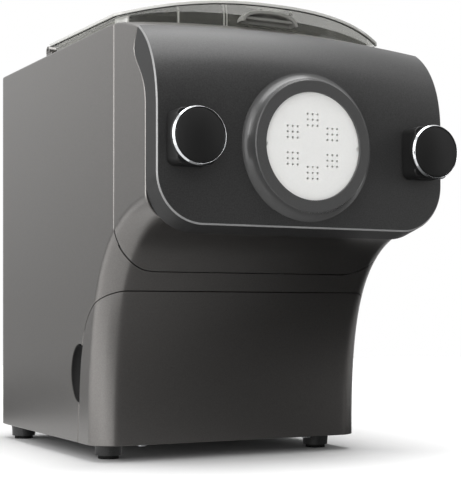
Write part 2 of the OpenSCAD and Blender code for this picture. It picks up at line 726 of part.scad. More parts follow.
// Mixing paddle and extrusion screw, on the drive axis
paddle_reach = trough_r - paddle_gap;
hub_r = shaft_r + 5;
hub_t = trough_t + 3.5;
hub_l = trough_l - 7;
arm_h = 8;
arm_in = 14;
module blade(t, a, w) translate([0, at(t), drive_z]) rotate([0, a, 0]) {
    translate([-w / 2, -arm_h / 2, 0]) cube([w, arm_h, paddle_reach - w / 2]);
    translate([0, -arm_h / 2, paddle_reach - w / 2]) rotate([-90, 0, 0]) cylinder(r = w / 2, h = arm_h);
}
module mixing_paddle() color(white_c) difference() {
    union() {
        along_y(hub_t, hub_l) circle(hub_r);
        for (i = [0:3]) blade(hub_t + arm_in + i * (hub_l - 2 * arm_in) / 3, 45 + 90 * i, 2 * arm_h);
        for (i = [0:1]) blade(hub_t + arm_in + i * (hub_l - 2 * arm_in), 225 + 270 * i, 1.5 * arm_h);
    }
    along_y(trough_end - 13, 14) circle(shaft_r + run);
}
screw_r_out = tube_r - screw_gap;
screw_t = tube_t + 4;
screw_l = hub_t - screw_t;
module screw_shape() {
    circle(hub_r - 1, $fn = 20);
    intersection() {
        circle(screw_r_out, $fn = 60);
        polygon([[0, 0], [60, -11], [60, 11]]);
    }
}
module extrusion_screw() color(white_c) translate([0, at(screw_t + screw_l), drive_z]) rotate([90, 0, 0])
    linear_extrude(screw_l, twist = 360 * screw_l / screw_pitch, slices = 40, segments = 24) screw_shape();

// Front panel: a rolled and arched face with side walls, open behind
panel_roll = [
    [0, panel_high - panel_roll_z], [0, panel_high - panel_roll_z + 27],
    [panel_top_t - 19.5, panel_high - 11.5], [panel_top_t, panel_high]
];
function panel_line(x, w, c) = concat(
    [[at(w + c), under_z]],
    [for (i = [0:8]) let (
        u = i / 8, way = bez_way(panel_roll, u),
        p = bez(panel_roll, u) + (w + c) * [way[1], -way[0]] / norm(way)
    ) [at(p[0]), p[1] + crown * arch(x)]],
    [[at(panel_grip_t + 12), panel_high + 2.5 + crown * arch(x) - w - c], [at(panel_grip_t + 12), under_z]]
);
function panel_front(w, t, c) = let (
    low = panel_bottom - panel_drop * t / panel_side + w + c,
    r = panel_r - w - c,
    x = half_w - w - c
) [
    for (p = concat(
        arc([-x + r, low + r], r, 180, 270, 8), arc([x - r, low + r], r, 270, 360, 8),
        [[x, side_h + 20], [-x, side_h + 20]]
    )) [p[0], at(t), p[1]]
];
// The panel's outside, or its inside when w is a wall; only the outside is chamfered
module panel_form(w) {
    c = w > 0 ? 0 : panel_chamfer;
    x1 = half_w - w + (w > 0 ? 0 : eps);
    middle = [for (k = [-0.7, -0.37, 0, 0.37, 0.7]) k * half_w];
    stations = concat([-x1, -x1 + panel_chamfer], middle, [x1 - panel_chamfer, x1]);
    n = len(stations) - 1;
    intersection() {
        hull() {
            between(panel_front(w, w, c), panel_front(w, panel_grip_t + 10, 0));
            between(panel_front(w, w + c, 0), panel_front(w, panel_grip_t + 10, 0));
        }
        for (i = [1:n]) between(
            side_view(stations[i - 1], panel_line(stations[i - 1], w, i == 1 ? c : 0)),
            side_view(stations[i], panel_line(stations[i], w, i == n ? c : 0))
        );
    }
}
module front_panel() color(panel_c) difference() {
    union() {
        difference() {
            panel_form(0);
            panel_form(panel_wall);
        }
        for (s = [-1, 1]) translate([s * knob_x, at(panel_wall - 1), drive_z]) rotate([-90, 0, 0])
            cylinder(r = bush_r + 2.5, h = panel_side - panel_wall - 1);
    }
    behind_panel();
    translate([0, at(-5), drive_z]) rotate([-90, 0, 0]) cylinder(r = ring_base_r - 4, h = 40);
    for (s = [-1, 1]) translate([s * knob_x, at(-5), drive_z]) rotate([-90, 0, 0])
        cylinder(r = bush_r + 0.1, h = 40);
}
bush_r = stud_r + 3;
module panel_bushes() color(brass_c) for (s = [-1, 1]) translate([s * knob_x, at(0.2), drive_z])
    rotate([-90, 0, 0]) difference() {
        cylinder(r = bush_r, h = panel_side - 3);
        translate([0, 0, -1]) cylinder(r = stud_r + run, h = panel_side);
    }
module behind_panel() translate([-half_w - 1, 0, 0]) rotate([90, 0, 90]) linear_extrude(body_w + 2)
    polygon(concat(
        [[at(neck_t * 2), under_z], [at(panel_side), under_z]], [for (p = panel_edge) [at(p[0]), p[1]]],
        [[at(panel_top_t - 3), side_h + 40], [at(neck_t * 2), side_h + 40]]
    ));
module outlet_ring() color("#444444") translate([0, at(0), drive_z]) rotate([90, 0, 0])
    rotate_extrude($fn = 96) polygon(concat(
        [[disc_r + 0.6, -8], [ring_base_r - 4.2, -8], [ring_base_r - 4.2, 0], [ring_base_r, 0]],
        [for (i = [0:4]) let (p = bez([
            [ring_base_r, 0.6], [ring_r + 2.4, 1.4], [ring_r + 0.9, 4], [ring_r + 0.4, ring_out - 0.6]
        ], i / 4)) p],
        [
            [ring_r, ring_out], [disc_view_r + 0.8, ring_out], [disc_view_r, ring_out - 0.8],
            [disc_view_r, ring_out - lip_h], [disc_r + 0.6, ring_out - lip_h]
        ]
    ));

// Knobs
module on_knob(s, t) translate([s * knob_x, at(t), drive_z]) rotate([-90, 0, 0]) children();
cap_r = knob_r - 1.4;
module knob_cap(s) color("#242424") on_knob(s, -knob_out) cylinder(r = cap_r - 0.1, h = knob_ring_h - fit);
module knob_ring(s) color(steel_c) on_knob(s, -knob_out) rotate_extrude()
    polygon([
        [cap_r, 0.2], [cap_r + 0.2, 0], [knob_r - 0.1, 1.1],
        [knob_r, 1.5], [knob_r, knob_ring_h], [cap_r, knob_ring_h]
    ]);
module knob_grip(s) color(black_c) difference() {
    union() {
        on_knob(s, knob_ring_h - knob_out) cylinder(r = knob_r - 0.3, h = knob_rim_h);
        on_knob(s, knob_ring_h + knob_rim_h - knob_out)
            linear_extrude(knob_out - knob_ring_h - knob_rim_h - 0.5) intersection() {
                circle(knob_r * 0.95);
                for (k = [-1, 1]) translate([k * 1.5 * knob_r, 0]) circle(2.16 * knob_r, $fn = 96);
            }
    }
    on_knob(s, 2 + knob_ring_h - knob_out) cylinder(r = stud_r + run, h = knob_out);
}
module knob_stud(s) color(steel_c) on_knob(s, 2.2 + knob_ring_h - knob_out) {
    cylinder(r = stud_r, h = stud_t + knob_out - knob_ring_h - 3.2);
    translate([0, 0, stud_t + knob_out - knob_ring_h - 3.2]) cylinder(r1 = stud_r, r2 = stud_r - 1, h = 1);
}
module knob_left_grip() knob_grip(-1);
module knob_left_ring() knob_ring(-1);
module knob_left_cap() knob_cap(-1);
module knob_left_stud() knob_stud(-1);
module knob_right_grip() knob_grip(1);
module knob_right_ring() knob_ring(1);
module knob_right_cap() knob_cap(1);
module knob_right_stud() knob_stud(1);

// Lid: an arched cover, a skirt that stands on the housing, a grip and two hinge pins
function lid_edge_t(x) = lid_front_t + (lid_corner_t - lid_front_t) * pow(x / lid_half, 2);
function lid_edge_z(x) =
    let (side = side_h + lid_side_rise) side + (crest_z - side) * (1 - pow(abs(x) / lid_half, 2.2));
lid_steps = [-1, -0.92, -0.8, -0.6, -0.4, -0.2, 0, 0.2, 0.4, 0.6, 0.8, 0.92, 1];
lug_t = lid_rear_t - 11.5;
lug_in = 7.5;
pin_in = lid_half - lug_in;
ear_r = pin_r + 1.2;
ear_w = 8;
function lid_z(x, t) = let (t0 = lid_edge_t(x), z0 = lid_edge_z(x))
    z0 + (rear_z - z0) * (t - t0) / (lid_rear_t - t0);
function plate_view(x) = let (t = lid_edge_t(x), z = lid_edge_z(x)) side_view(x, [
    [at(t), z - lid_h], [at(lid_rear_t), rear_z - lid_h], [at(lid_rear_t), rear_z], [at(t + 0.8), z]
]);
skirt_half = lid_half - skirt_in;
skirt_low = side_h - 6;
skirt_wall = 2;
function skirt_view(x) = let (t = lid_edge_t(x) + 24 - 18 * pow(x / skirt_half, 2)) side_view(x, [
    [at(t), skirt_low], [at(t + skirt_wall), skirt_low],
    [at(t + skirt_wall), lid_z(x, t) - lid_h / 2], [at(t), lid_z(x, t) - lid_h / 2]
]);
function skirt_side(x, t) = [
    for (p = [[x, skirt_low], [x - skirt_wall, skirt_low], [x - skirt_wall, lid_z(x, t) - lid_h / 2],
        [x, lid_z(x, t) - lid_h / 2]]) [p[0], at(t), p[1]]
];
module lid_cover() color(smoke_c) {
    difference() {
        for (i = [1:len(lid_steps) - 1])
            between(plate_view(lid_steps[i - 1] * lid_half), plate_view(lid_steps[i] * lid_half));
        for (s = [-1, 1]) translate([s * (lid_half - lug_in / 2) - lug_in / 2 - eps, at(lug_t), side_h])
            cube([lug_in + 2 * eps, 20, 20]);
        across_x(-lid_half, hinge_t, hinge_z, pin_r + run, 2 * lid_half);
    }
    difference() {
        union() {
            for (i = [1:len(lid_steps) - 1])
                between(skirt_view(lid_steps[i - 1] * skirt_half), skirt_view(lid_steps[i] * skirt_half));
            for (x = [-skirt_half + skirt_wall, skirt_half])
                between(skirt_side(x, lid_corner_t + 6), skirt_side(x, lug_t - 1));
        }
        cap(-seam);
    }
    for (s = [-1, 1]) translate([s * (pin_in - 1.5 - ear_w / 2) - ear_w / 2, 0, 0]) difference() {
        union() {
            across_x(0, hinge_t, hinge_z, ear_r, ear_w);
            translate([0, at(hinge_t) - ear_r, hinge_z])
                cube([ear_w, 2 * ear_r - 1.5, rear_z - 0.5 - hinge_z]);
        }
        across_x(-1, hinge_t, hinge_z, pin_r + run, ear_w + 2);
    }
}
// The grip is an arched bridge under the lid's front edge, open in front, with a bar across it
grip_size = [44, 9, 9];
grip_wall = 2.2;
grip_back = 1.5;
bar_size = [38, 6.5, 2];
top_grip = crest_z - lid_h - 1.4;
function grip_arch(w) = let (
    half = grip_size[0] / 2 - w,
    high = grip_size[2] - w,
    side = [for (i = [0:8]) bez([[half, 0], [half - 1, 0.8 * high], [half - 10, high], [0, high]], i / 8)]
) concat(side, [for (i = [7:-1:0]) [-side[i][0], side[i][1]]]);
module lid_grip() color(black_c)
    translate([0, at(lid_front_t + 3) + grip_size[1], top_grip - grip_size[2]]) rotate([90, 0, 0]) {
        difference() {
            linear_extrude(grip_size[1]) polygon(grip_arch(0));
            translate([0, -eps, grip_back]) linear_extrude(grip_size[1]) polygon(grip_arch(grip_wall));
        }
        translate([-bar_size[0] / 2, grip_wall, grip_back - eps])
            cube([bar_size[0], bar_size[2], bar_size[1]]);
    }
hinge_t = lid_rear_t - 1.7;
hinge_z = rear_z - 4.2;
bracket_w = 6;
bracket_h = 2;
module across_x(x, t, z, r, h) translate([x, at(t), z]) rotate([0, 90, 0]) cylinder(r = r, h = h);
module lid_hinge_pins() color(steel_c) for (start = [pin_in - ear_w - 2, -pin_in - bracket_w])
    across_x(start, hinge_t, hinge_z, pin_r, ear_w + bracket_w + 2);
module hinge_brackets() color(black_c) for (s = [-1, 1])
    translate([s * (pin_in + 1 + bracket_w / 2) - bracket_w / 2, 0, 0]) difference() {
        union() {
            across_x(0, hinge_t, hinge_z, pin_r + 1.7, bracket_w);
            translate([0, at(lug_t + 1), top_at(hinge_t + 3, pin_in) + 2 * fit])
                cube([bracket_w, hinge_t - lug_t + 2, bracket_h]);
        }
        across_x(-1, hinge_t, hinge_z, pin_r + run, bracket_w + 2);
    }

// Control deck, window and buttons
deck_top = side_h + side_rise + crown_rear + 0.6;
deck_h = 5;
deck_wall = 2;
window_h = 1.2;
button_h = 6.4;
button_lip = 1.5;
stem_r = 2.5;
contact_size = [6, 6, 3];
post_r = 3;
button_spots = [[deck_half - 28, deck_l / 2], [deck_half - 54, deck_l / 2], [26 - deck_half, deck_l / 2]];
window_half = 24;
window_x = -14;
window_l = 34;
post_in = 11;
module deck_spot(p) translate([p[0], at(deck_t + p[1]), 0]) children();
module control_deck() color(black_c) difference() {
    union() {
        difference() {
            translate([-deck_half, at(deck_t), deck_top - deck_h]) cube([2 * deck_half, deck_l, deck_h]);
            translate([-deck_half + deck_wall, at(deck_t + deck_wall), deck_top - deck_h - 1])
                cube([2 * (deck_half - deck_wall), deck_l - 2 * deck_wall, deck_h - 1.5]);
        }
        for (x = [-1, 1], y = [post_in, deck_l - post_in]) deck_spot([x * (deck_half - post_in), y])
            translate([0, 0, board_z + board_h])
                cylinder(r = post_r, h = deck_top - deck_wall - board_z - board_h);
    }
    for (p = button_spots) deck_spot(p) translate([0, 0, deck_top - 9]) cylinder(r = button_r + 0.3, h = 12);
    translate([window_x, at(deck_t + deck_l / 2), deck_top - window_h])
        translate([-window_half - fit, -window_l / 2 - fit, 0])
            cube([2 * (window_half + fit), window_l + 2 * fit, 4]);
}
module display_window() color("#08080a")
    translate([window_x - window_half, at(deck_t + deck_l / 2) - window_l / 2, deck_top - window_h])
        cube([2 * window_half, window_l, window_h]);
board_z = deck_top - 14;
board_h = 1.6;
module display_board() color("#2c5a3c") {
    translate([-deck_half + 6, at(deck_t + 6), board_z]) cube([2 * deck_half - 12, deck_l - 12, board_h]);
    for (p = button_spots) deck_spot(p)
        translate([-contact_size[0] / 2, -contact_size[1] / 2, board_z + board_h]) cube(contact_size);
}
module push_button(p) color("#2a2a2a") deck_spot(p) {
    translate([0, 0, deck_top - deck_h]) cylinder(r = button_r, h = button_h);
    translate([0, 0, board_z + board_h + contact_size[2] + button_travel + 0.3]) cylinder(r = stem_r, h = 6);
    translate([0, 0, deck_top - deck_h]) cylinder(r = button_r + button_lip, h = 2.2);
}
module power_button() push_button(button_spots[0]);
module start_button() push_button(button_spots[1]);
module program_button() push_button(button_spots[2]);

// Electrics, rear grille and cord gland
power_w = 150;
power_l = body_d - wall - rear_room - 6 - box_end;
power_post = 4;
coil_size = [34, power_l / 2, 24];
tank_r = 8;
tank_h = 26;
tank_pitch = 22;
module power_board() color("#2c5a3c")
    translate([half_w - 17.5 - power_w, at(box_end + 6), base_z + base_h + power_post]) {
        cube([power_w, power_l, board_h]);
        for (i = [0, 1]) translate([tank_r + i * tank_pitch, power_l / 5, board_h])
            cylinder(r = tank_r, h = tank_h);
        translate([power_w - 50, power_l / 7.5, board_h]) cube(coil_size);
        for (x = [2 * post_r, power_w - 2 * post_r], y = [4, power_l - 4]) translate([x, y, fit - power_post])
            cylinder(r = post_r, h = power_post - fit);
    }
module rear_grille() color(black_c) difference() {
    translate([-grille_half, at(body_d) - wall, grille_z]) cube([2 * grille_half, wall, grille_h]);
    for (x = [-8:8], z = [0, 1]) translate([x * 5.6 - 1.5, at(body_d) - wall - 1, grille_z + 4 + z * 14])
        cube([3, wall + 2, 12]);
}
module cord_gland() color(black_c) translate([gland_x, at(body_d) - 10, gland_z]) rotate([-90, 0, 0])
    difference() {
        union() {
            cylinder(r = gland_r, h = 10);
            cylinder(r = gland_r + 2.5, h = 10 - wall - fit);
        }
        translate([0, 0, -1]) cylinder(r = 3.6, h = 12);
    }
switch_size = [8, 22, 14];
lever_size = [2, 14, 4];
switch_back = 54;
switch_z = side_h - switch_size[2] - 15;
module lid_switch() color(black_c) translate([-frame_half + 0.5, at(trough_t + switch_back), 0]) {
    translate([0, 0, drive_z + 12]) cube([2.5, switch_size[1], switch_z - drive_z - 12]);
    translate([0, 0, switch_z]) cube(switch_size);
    translate([3, 4, switch_z + switch_size[2]]) cube(lever_size);
}

// Drawer: front, tray and the discs that it stores
module drawer_front() color(housing_c) difference() {
    intersection() {
        shell_form(0);
        drawer_zone();
    }
    shell_form(wall);
    translate([-half_w - 1, at(0), -5]) cube([body_w + 2, body_d, base_z + 5 + seam]);
}
tray_t = lower_t + wall + 2;
tray_end = bay_end - tray_wall - 2;
tray_low = bay_low + tray_wall + fit;
module drawer_tray() color("#57585a") {
    difference() {
        translate([-tray_half, at(tray_t), tray_low]) cube([2 * tray_half, tray_end - tray_t, tray_h]);
        translate([-tray_half + tray_wall, at(tray_t + tray_wall), tray_low + tray_wall])
            cube([2 * (tray_half - tray_wall), tray_end - tray_t - 2 * tray_wall, tray_h]);
    }
    for (s = [-1, 1]) translate([s * 60, at(tray_t - tray_lug_h), tray_low + 8]) rotate([-90, 0, 0])
        cylinder(r = 5, h = tray_lug_h);
    for (x = [-1, 1], k = [0:2])
        translate([x * store_x - comb_size[0] / 2, at(store_t(k)) - 2.4, tray_low + tray_wall])
            cube(comb_size);
}
tray_lug_h = 1.8;
store_x = 44;
store_h = 5;
store_pitch = 12;
comb_size = [40, 1.8, 12];
function store_t(k) = tray_t + 16 + k * store_pitch;
store_z = tray_low + tray_wall + store_r + 0.1;
module stored(x, k) translate([x * store_x, at(store_t(k)) + store_h + fit, store_z])
    rotate([90, 0, 0]) linear_extrude(store_h) difference() {
        circle(store_r);
        children();
    }
module disc_fettuccine() color(white_c) stored(-1, 0)
    for (x = [-2:2], z = [-1:1]) translate([x * 7, z * 12]) square([1.6, 7], center = true);
module disc_lasagne() color(white_c) stored(1, 0)
    for (z = [-1, 1]) translate([0, z * 8]) square([42, 1.6], center = true);
module disc_penne() color(white_c) stored(-1, 1)
    for (a = [0:60:300]) rotate(a) translate([16, 0]) difference() {
        circle(4);
        circle(2.6);
        square([1, 10], center = true);
    }
module disc_angel_hair() color(white_c) stored(1, 1)
    for (a = [0:30:330], r = [10, 20]) rotate(a) translate([r, 0]) circle(1, $fn = 16);

body_shell();
head_housing();
base_plate();
foot_collars();
foot_pads();
drawer_bay();
drawer_runners();
chassis_frame();
mixing_chamber();
extrusion_tube();
shaping_disc();
drive_bushes();
gearbox_housing();
gearbox_cover();
gear_pin();
motor_can();
motor_end_bell();
power_board();
control_deck();
display_window();
display_board();
rear_grille();
cord_gland();
lid_switch();
hinge_brackets();
base_screws();
gearbox_screws();
lid_cover();
lid_grip();
lid_hinge_pins();
front_panel();
outlet_ring();
panel_bushes();
knob_left_grip();
knob_left_ring();
knob_left_cap();
knob_left_stud();
knob_right_grip();
knob_right_ring();
knob_right_cap();
knob_right_stud();
drawer_front();
drawer_tray();
disc_fettuccine();
disc_lasagne();
disc_penne();
disc_angel_hair();
mixing_paddle();
extrusion_screw();
drive_shaft();
output_gear();
reduction_gear();
motor_armature();
drive_pinion();
cooling_fan();
power_button();
start_button();
program_button();
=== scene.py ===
"""An electric pasta maker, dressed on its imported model: metres, +Z up, the front faces -Y."""
import json
import math

import bmesh
import bpy
from mathutils import Matrix, Vector
from mathutils.geometry import interpolate_bezier


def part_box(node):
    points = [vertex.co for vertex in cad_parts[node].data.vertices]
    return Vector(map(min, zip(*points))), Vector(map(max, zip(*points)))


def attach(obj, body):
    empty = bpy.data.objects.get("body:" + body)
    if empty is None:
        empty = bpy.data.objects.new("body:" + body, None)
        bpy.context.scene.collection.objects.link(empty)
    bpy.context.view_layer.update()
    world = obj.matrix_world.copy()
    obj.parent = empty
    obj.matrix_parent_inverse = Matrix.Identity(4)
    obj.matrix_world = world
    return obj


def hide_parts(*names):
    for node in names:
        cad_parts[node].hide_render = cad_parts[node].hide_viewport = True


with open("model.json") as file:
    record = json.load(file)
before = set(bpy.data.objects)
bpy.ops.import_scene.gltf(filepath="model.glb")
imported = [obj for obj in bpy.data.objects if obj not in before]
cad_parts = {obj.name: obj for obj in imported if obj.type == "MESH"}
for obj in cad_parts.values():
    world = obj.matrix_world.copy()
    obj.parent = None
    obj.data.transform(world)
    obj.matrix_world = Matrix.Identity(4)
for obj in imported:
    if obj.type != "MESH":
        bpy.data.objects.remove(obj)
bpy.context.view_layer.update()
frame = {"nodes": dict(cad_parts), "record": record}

# --- The studio ---------------------------------------------------------------------------
# White paper under and around. A long scrim lit from behind stands on the left, a softbox hangs
# overhead and a narrow one stands on the right. Glowing cards, seen only in reflections, paint the
# object's dark and bright reflections.
CAMERA_SPOT = (-0.424, -0.863, 0.103)
CAMERA_YAW = math.radians(27.3)
CAMERA_LENS = 91.4
CAMERA_SHIFT = 0.128
FLOOR_SIZE = 3.2
WHITE = (1.0, 1.0, 1.0, 1.0)
SURROUND_LIGHT = 0.28
# Each lamp: place, the way it looks (0 backwards, 90 to the right), tilt, size, how bright it looks.
LAMPS = {
    "left_scrim": ((-1.24, -0.40, 0.80), 72, 0, (6.4, 1.5), 1.7),
    "overhead_softbox": ((0.0, -0.12, 1.4), 0, -85, (1.3, 1.2), 3.6),
    "right_strip": ((1.08, -0.19, 0.6), -80, 0, (0.16, 1.2), 1.6),
}
# Each card glows, and only reflections show it, so it paints a dark or bright reflection on the
# object: place, way, tilt, size, then its shades: along which side of the card they run, the grey at
# either end, and the share of the card over which the grey changes.
CARDS = {
    "front_flag": ((0.07, -0.936, 0.44), -20, 0, (1.05, 0.9), "X", 0.8, 0.04, 0.42),
    "floor_flag": ((-0.025, -0.47, 0.001), 0, -90, (0.95, 1.04), "X", 0.95, 0.015, 0.66),
    "right_floor_glow_card": ((0.7, -0.3, 0.001), 0, -90, (0.5, 0.7), "X", 0.1, 0.9, 0.5),
    "left_floor_glow_card": ((-0.33, 0.06, 0.0015), 0, -90, (0.44, 0.48), "X", 1.2, 1.0, 1.0),
    "left_glint": ((-1.0, -0.6, 0.55), 64, 0, (0.36, 0.8), "Y", 6.0, 7.0, 1.0),
    "right_card": ((1.2, 0.0, 0.44), -90, 0, (1.6, 0.9), "Y", 0.2, 0.35, 1.0),
    "right_floor_flag": ((0.65, 0.3, 0.001), 0, -90, (1.0, 0.5), "X", 0.36, 0.36, 1.0),
    "rear_card": ((-0.64, 1.46, 0.42), 158, 0, (0.88, 0.84), "Y", 0.42, 1.1, 1.0),
    "rear_flag": ((-1.33, 1.18, 0.42), 158, 0, (0.6, 0.84), "Y", 0.03, 0.1, 1.0),
    "rear_right_card": ((0.62, 1.12, 0.5), -150, 0, (1.3, 1.0), "Y", 0.6, 0.6, 1.0),
    "table_card": ((-0.37, 0.80, 0.001), 158, -90, (0.34, 1.1), "Y", 0.18, 0.26, 1.0),
}
# The floor's own glow, which only shows in sight, grows with the distance from the object's foot,
# so the floor round the foot stays darker: painted shade that deepens its real shadow.
GLOW = 0.75
GLOW_REACH = 0.12
FOOT_MIDDLE = (0.0, 0.06, 0.0)
FOOT_HALF = (0.11, 0.11, 0.0)


def turned_in(azimuth, tilt):
    """The rotation of a lamp or a card that looks inwards, tilted up by so much."""
    return (math.radians(90 + tilt), 0.0, math.radians(-azimuth))


def add_node(tree, kind, inputs=(), **settings):
    """Adds a node to a tree. inputs gives each socket a value or another node's output."""
    node = tree.nodes.new("ShaderNode" + kind)
    for name, value in settings.items():
        setattr(node, name, value)
    for name, value in dict(inputs).items():
        if isinstance(value, bpy.types.NodeSocket):
            tree.links.new(value, node.inputs[name])
        else:
            node.inputs[name].default_value = value
    return node


def linear(code):
    """An sRGB hex colour, such as #6d6b68, as linear RGBA."""
    parts = [int(code[i:i + 2], 16) / 255 for i in (1, 3, 5)]
    return [c / 12.92 if c <= 0.04045 else ((c + 0.055) / 1.055) ** 2.4 for c in parts] + [1.0]


def new_material(name):
    """A material whose node tree is still empty."""
    material = bpy.data.materials.new(name)
    material.use_nodes = True
    material.node_tree.nodes.clear()
    return material


def to_mesh(name, bm):
    """A new object that holds a bmesh's shape."""
    mesh = bpy.data.meshes.new(name)
    bm.to_mesh(mesh)
    bm.free()
    piece = bpy.data.objects.new(name, mesh)
    bpy.context.scene.collection.objects.link(piece)
    return piece


def seen_by_camera(tree):
    """1 for a ray that shows the surround itself, in sight, in a reflection or through glass."""
    path = add_node(tree, "LightPath").outputs
    seen = add_node(tree, "Math", {0: path["Is Camera Ray"], 1: path["Is Glossy Ray"]}, operation="ADD")
    return add_node(
        tree, "Math", {0: seen.outputs[0], 1: path["Is Transmission Ray"]}, operation="ADD", use_clamp=True
    ).outputs[0]


camera = bpy.data.objects.new("camera", bpy.data.cameras.new("camera"))
camera.location = CAMERA_SPOT
camera.rotation_euler = (math.radians(90), 0.0, -CAMERA_YAW)
camera.data.sensor_width = 36.0
camera.data.lens = CAMERA_LENS
camera.data.shift_y = CAMERA_SHIFT
bpy.context.scene.collection.objects.link(camera)
bpy.context.scene.camera = camera
bpy.context.scene.view_settings.view_transform = "Standard"

for name, (spot, azimuth, tilt, size, bright) in LAMPS.items():
    lamp = bpy.data.lights.new(name, "AREA")
    lamp.shape = "RECTANGLE"
    lamp.size, lamp.size_y = size
    lamp.energy = bright * math.pi * size[0] * size[1]
    softbox = bpy.data.objects.new(name, lamp)
    softbox.location = spot
    softbox.rotation_euler = turned_in(azimuth, tilt)
    bpy.context.scene.collection.objects.link(softbox)

# Each card is hidden from sight, from diffuse light and from shadows: its glow is a painted reflection.
for name, (spot, azimuth, tilt, size, side, start, end, share) in CARDS.items():
    bm = bmesh.new()
    bmesh.ops.create_grid(bm, x_segments=1, y_segments=1, size=0.5)
    bmesh.ops.scale(bm, vec=(size[0], size[1], 1.0), verts=bm.verts)
    card = to_mesh(name, bm)
    card.location = spot
    card.rotation_euler = turned_in(azimuth, tilt)
    card.visible_camera = card.visible_diffuse = card.visible_shadow = card.visible_transmission = False
    reflection_glow = new_material(name + " felt")
    tree = reflection_glow.node_tree
    place = add_node(tree, "TexCoord").outputs["Object"]
    along = add_node(tree, "SeparateXYZ", {0: place}).outputs[side]
    length = size["XY".index(side)]
    grey = add_node(tree, "MapRange", {
        "Value": along, "From Min": -length / 2, "From Max": length * (share - 0.5),
        "To Min": start, "To Max": end
    }).outputs[0]
    shade = add_node(tree, "Emission", {"Color": WHITE, "Strength": grey})
    add_node(tree, "OutputMaterial", {"Surface": shade.outputs[0]})
    card.data.materials.append(reflection_glow)

world = bpy.data.worlds.new("white surround")
bpy.context.scene.world = world
world.use_nodes = True
sky = world.node_tree
sky.nodes.clear()
lit = add_node(sky, "Background", {"Color": WHITE, "Strength": SURROUND_LIGHT})
shown = add_node(sky, "Background", {"Color": WHITE, "Strength": 1.0})
both = add_node(sky, "MixShader", {0: seen_by_camera(sky), 1: lit.outputs[0], 2: shown.outputs[0]})
add_node(sky, "OutputWorld", {"Surface": both.outputs[0]})

bm = bmesh.new()
bmesh.ops.create_grid(bm, x_segments=1, y_segments=1, size=FLOOR_SIZE / 2)
floor = to_mesh("floor", bm)
paper = new_material("white paper floor")
floor_tree = paper.node_tree
matt = add_node(floor_tree, "BsdfDiffuse", {"Color": (0.82, 0.82, 0.82, 1.0)})
floor_place = add_node(floor_tree, "TexCoord").outputs["Object"]
away = floor_place
for operation, second in (
    ("SUBTRACT", {1: FOOT_MIDDLE}), ("ABSOLUTE", {}), ("SUBTRACT", {1: FOOT_HALF}),
    ("MAXIMUM", {1: (0.0, 0.0, 0.0)})
):
    away = add_node(floor_tree, "VectorMath", {0: away, **second}, operation=operation).outputs[0]
away = add_node(floor_tree, "VectorMath", {0: away}, operation="LENGTH").outputs["Value"]
reach = add_node(floor_tree, "Math", {0: away, 1: GLOW_REACH}, operation="ADD").outputs[0]
share = add_node(floor_tree, "Math", {0: away, 1: reach}, operation="DIVIDE").outputs[0]
glow_strength = add_node(floor_tree, "Math", {0: share, 1: GLOW}, operation="MULTIPLY").outputs[0]
glow = add_node(floor_tree, "Emission", {"Color": WHITE, "Strength": glow_strength})
lifted = add_node(floor_tree, "AddShader", {0: matt.outputs[0], 1: glow.outputs[0]})
paper_mix = add_node(
    floor_tree, "MixShader", {0: seen_by_camera(floor_tree), 1: matt.outputs[0], 2: lifted.outputs[0]}
)
add_node(floor_tree, "OutputMaterial", {"Surface": paper_mix.outputs[0]})
floor.data.materials.append(paper)

# --- The main housing ---------------------------------------------------------------------
# One moulding of warm grey ABS with a fine mica grain and a satin gloss. Its side walls are
# flat; the front sweeps out under the head, and all front edges are rolled.
body_low, body_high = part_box("body_shell")
panel_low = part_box("front_panel")[0]
HALF_W = body_high[0]
BASE_Z = body_low[2]
FACE_Y = panel_low[1]
DEPTH = body_high[1] - FACE_Y
WALL = 0.003
SEAM = 0.0006
EDGE_R = 0.0165
ROLL = 0.46  # the rolled edge's profile, a little flatter than a circle's 0.5
# A face is flat where its normal's X is within FLAT of 0 or 1. Where a flat face meets a rounded
# one at an angle of more than STEP, there is a step.
FLAT = 0.001
STEP = math.radians(12)
REAR_R = 0.008
RIM_R = 0.0015
# Depths from the panel's face end in T, heights in Z.
LOWER_T = 0.1015
HEAD_Z = 0.1622
HEAD_T = 0.0148
SWEEP = [(LOWER_T, BASE_Z), (LOWER_T, BASE_Z + 0.079), (LOWER_T - 0.0068, HEAD_Z - 0.0095), (HEAD_T, HEAD_Z)]
SIDE_H = 0.2964
REAR_H = 0.3007
BROW_T = 0.080
BROW = [(0.018, SIDE_H - 0.0179), (0.034, SIDE_H - 0.0079), (0.054, SIDE_H - 0.0008), (BROW_T, SIDE_H)]
CROWN = 0.006
CROWN_REAR = 0.0015
CROWN_BENDS = (0.006, 0.018, 0.03, 0.042, 0.054, 0.066, 0.077, 0.087, 0.094, 0.1)
RIM_LOW = SIDE_H - 0.014
RIM_T = 0.03
TOP_BAND = SIDE_H - 0.02
NECK_Z = 0.132
NECK_R = 0.033
NECK_T = 0.0694
NECK_STEP = 0.0165
NECK_BACK = 0.014
NECK_OUT = 0.0003
DRAWER_TOP = 0.1202
DRAWER_T = 0.1373
DRAWER_LEAN_T = DRAWER_T - 0.007
DRAWER_EDGE = [
    (DRAWER_T, BASE_Z - 0.001), (DRAWER_LEAN_T, BASE_Z + 0.080), (DRAWER_LEAN_T, DRAWER_TOP - 0.017),
    (LOWER_T - 0.0215, DRAWER_TOP)
]
disc_low, disc_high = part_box("shaping_disc")
DRIVE_Z = (disc_low[2] + disc_high[2]) / 2
TUBE_HOLE_R = disc_high[0] + 0.002
knob_low, knob_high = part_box("knob_right_cap")
KNOB_X = (knob_low[0] + knob_high[0]) / 2
KNOB_SPOTS = (-KNOB_X, KNOB_X)
STUD_HOLE_R = 0.0062
# Cutting tools reach PAST the housing's sides, REACH beyond what they cut, and up to ABOVE.
PAST = 0.002
REACH = 0.01
ABOVE = 0.34
# Vertices nearer than MERGE become one, and edges shorter than SLIVER go. HAIR is a hair's breadth.
MERGE = 0.00008
SLIVER = 0.00004
HAIR = 0.0001
TINY = 1e-6


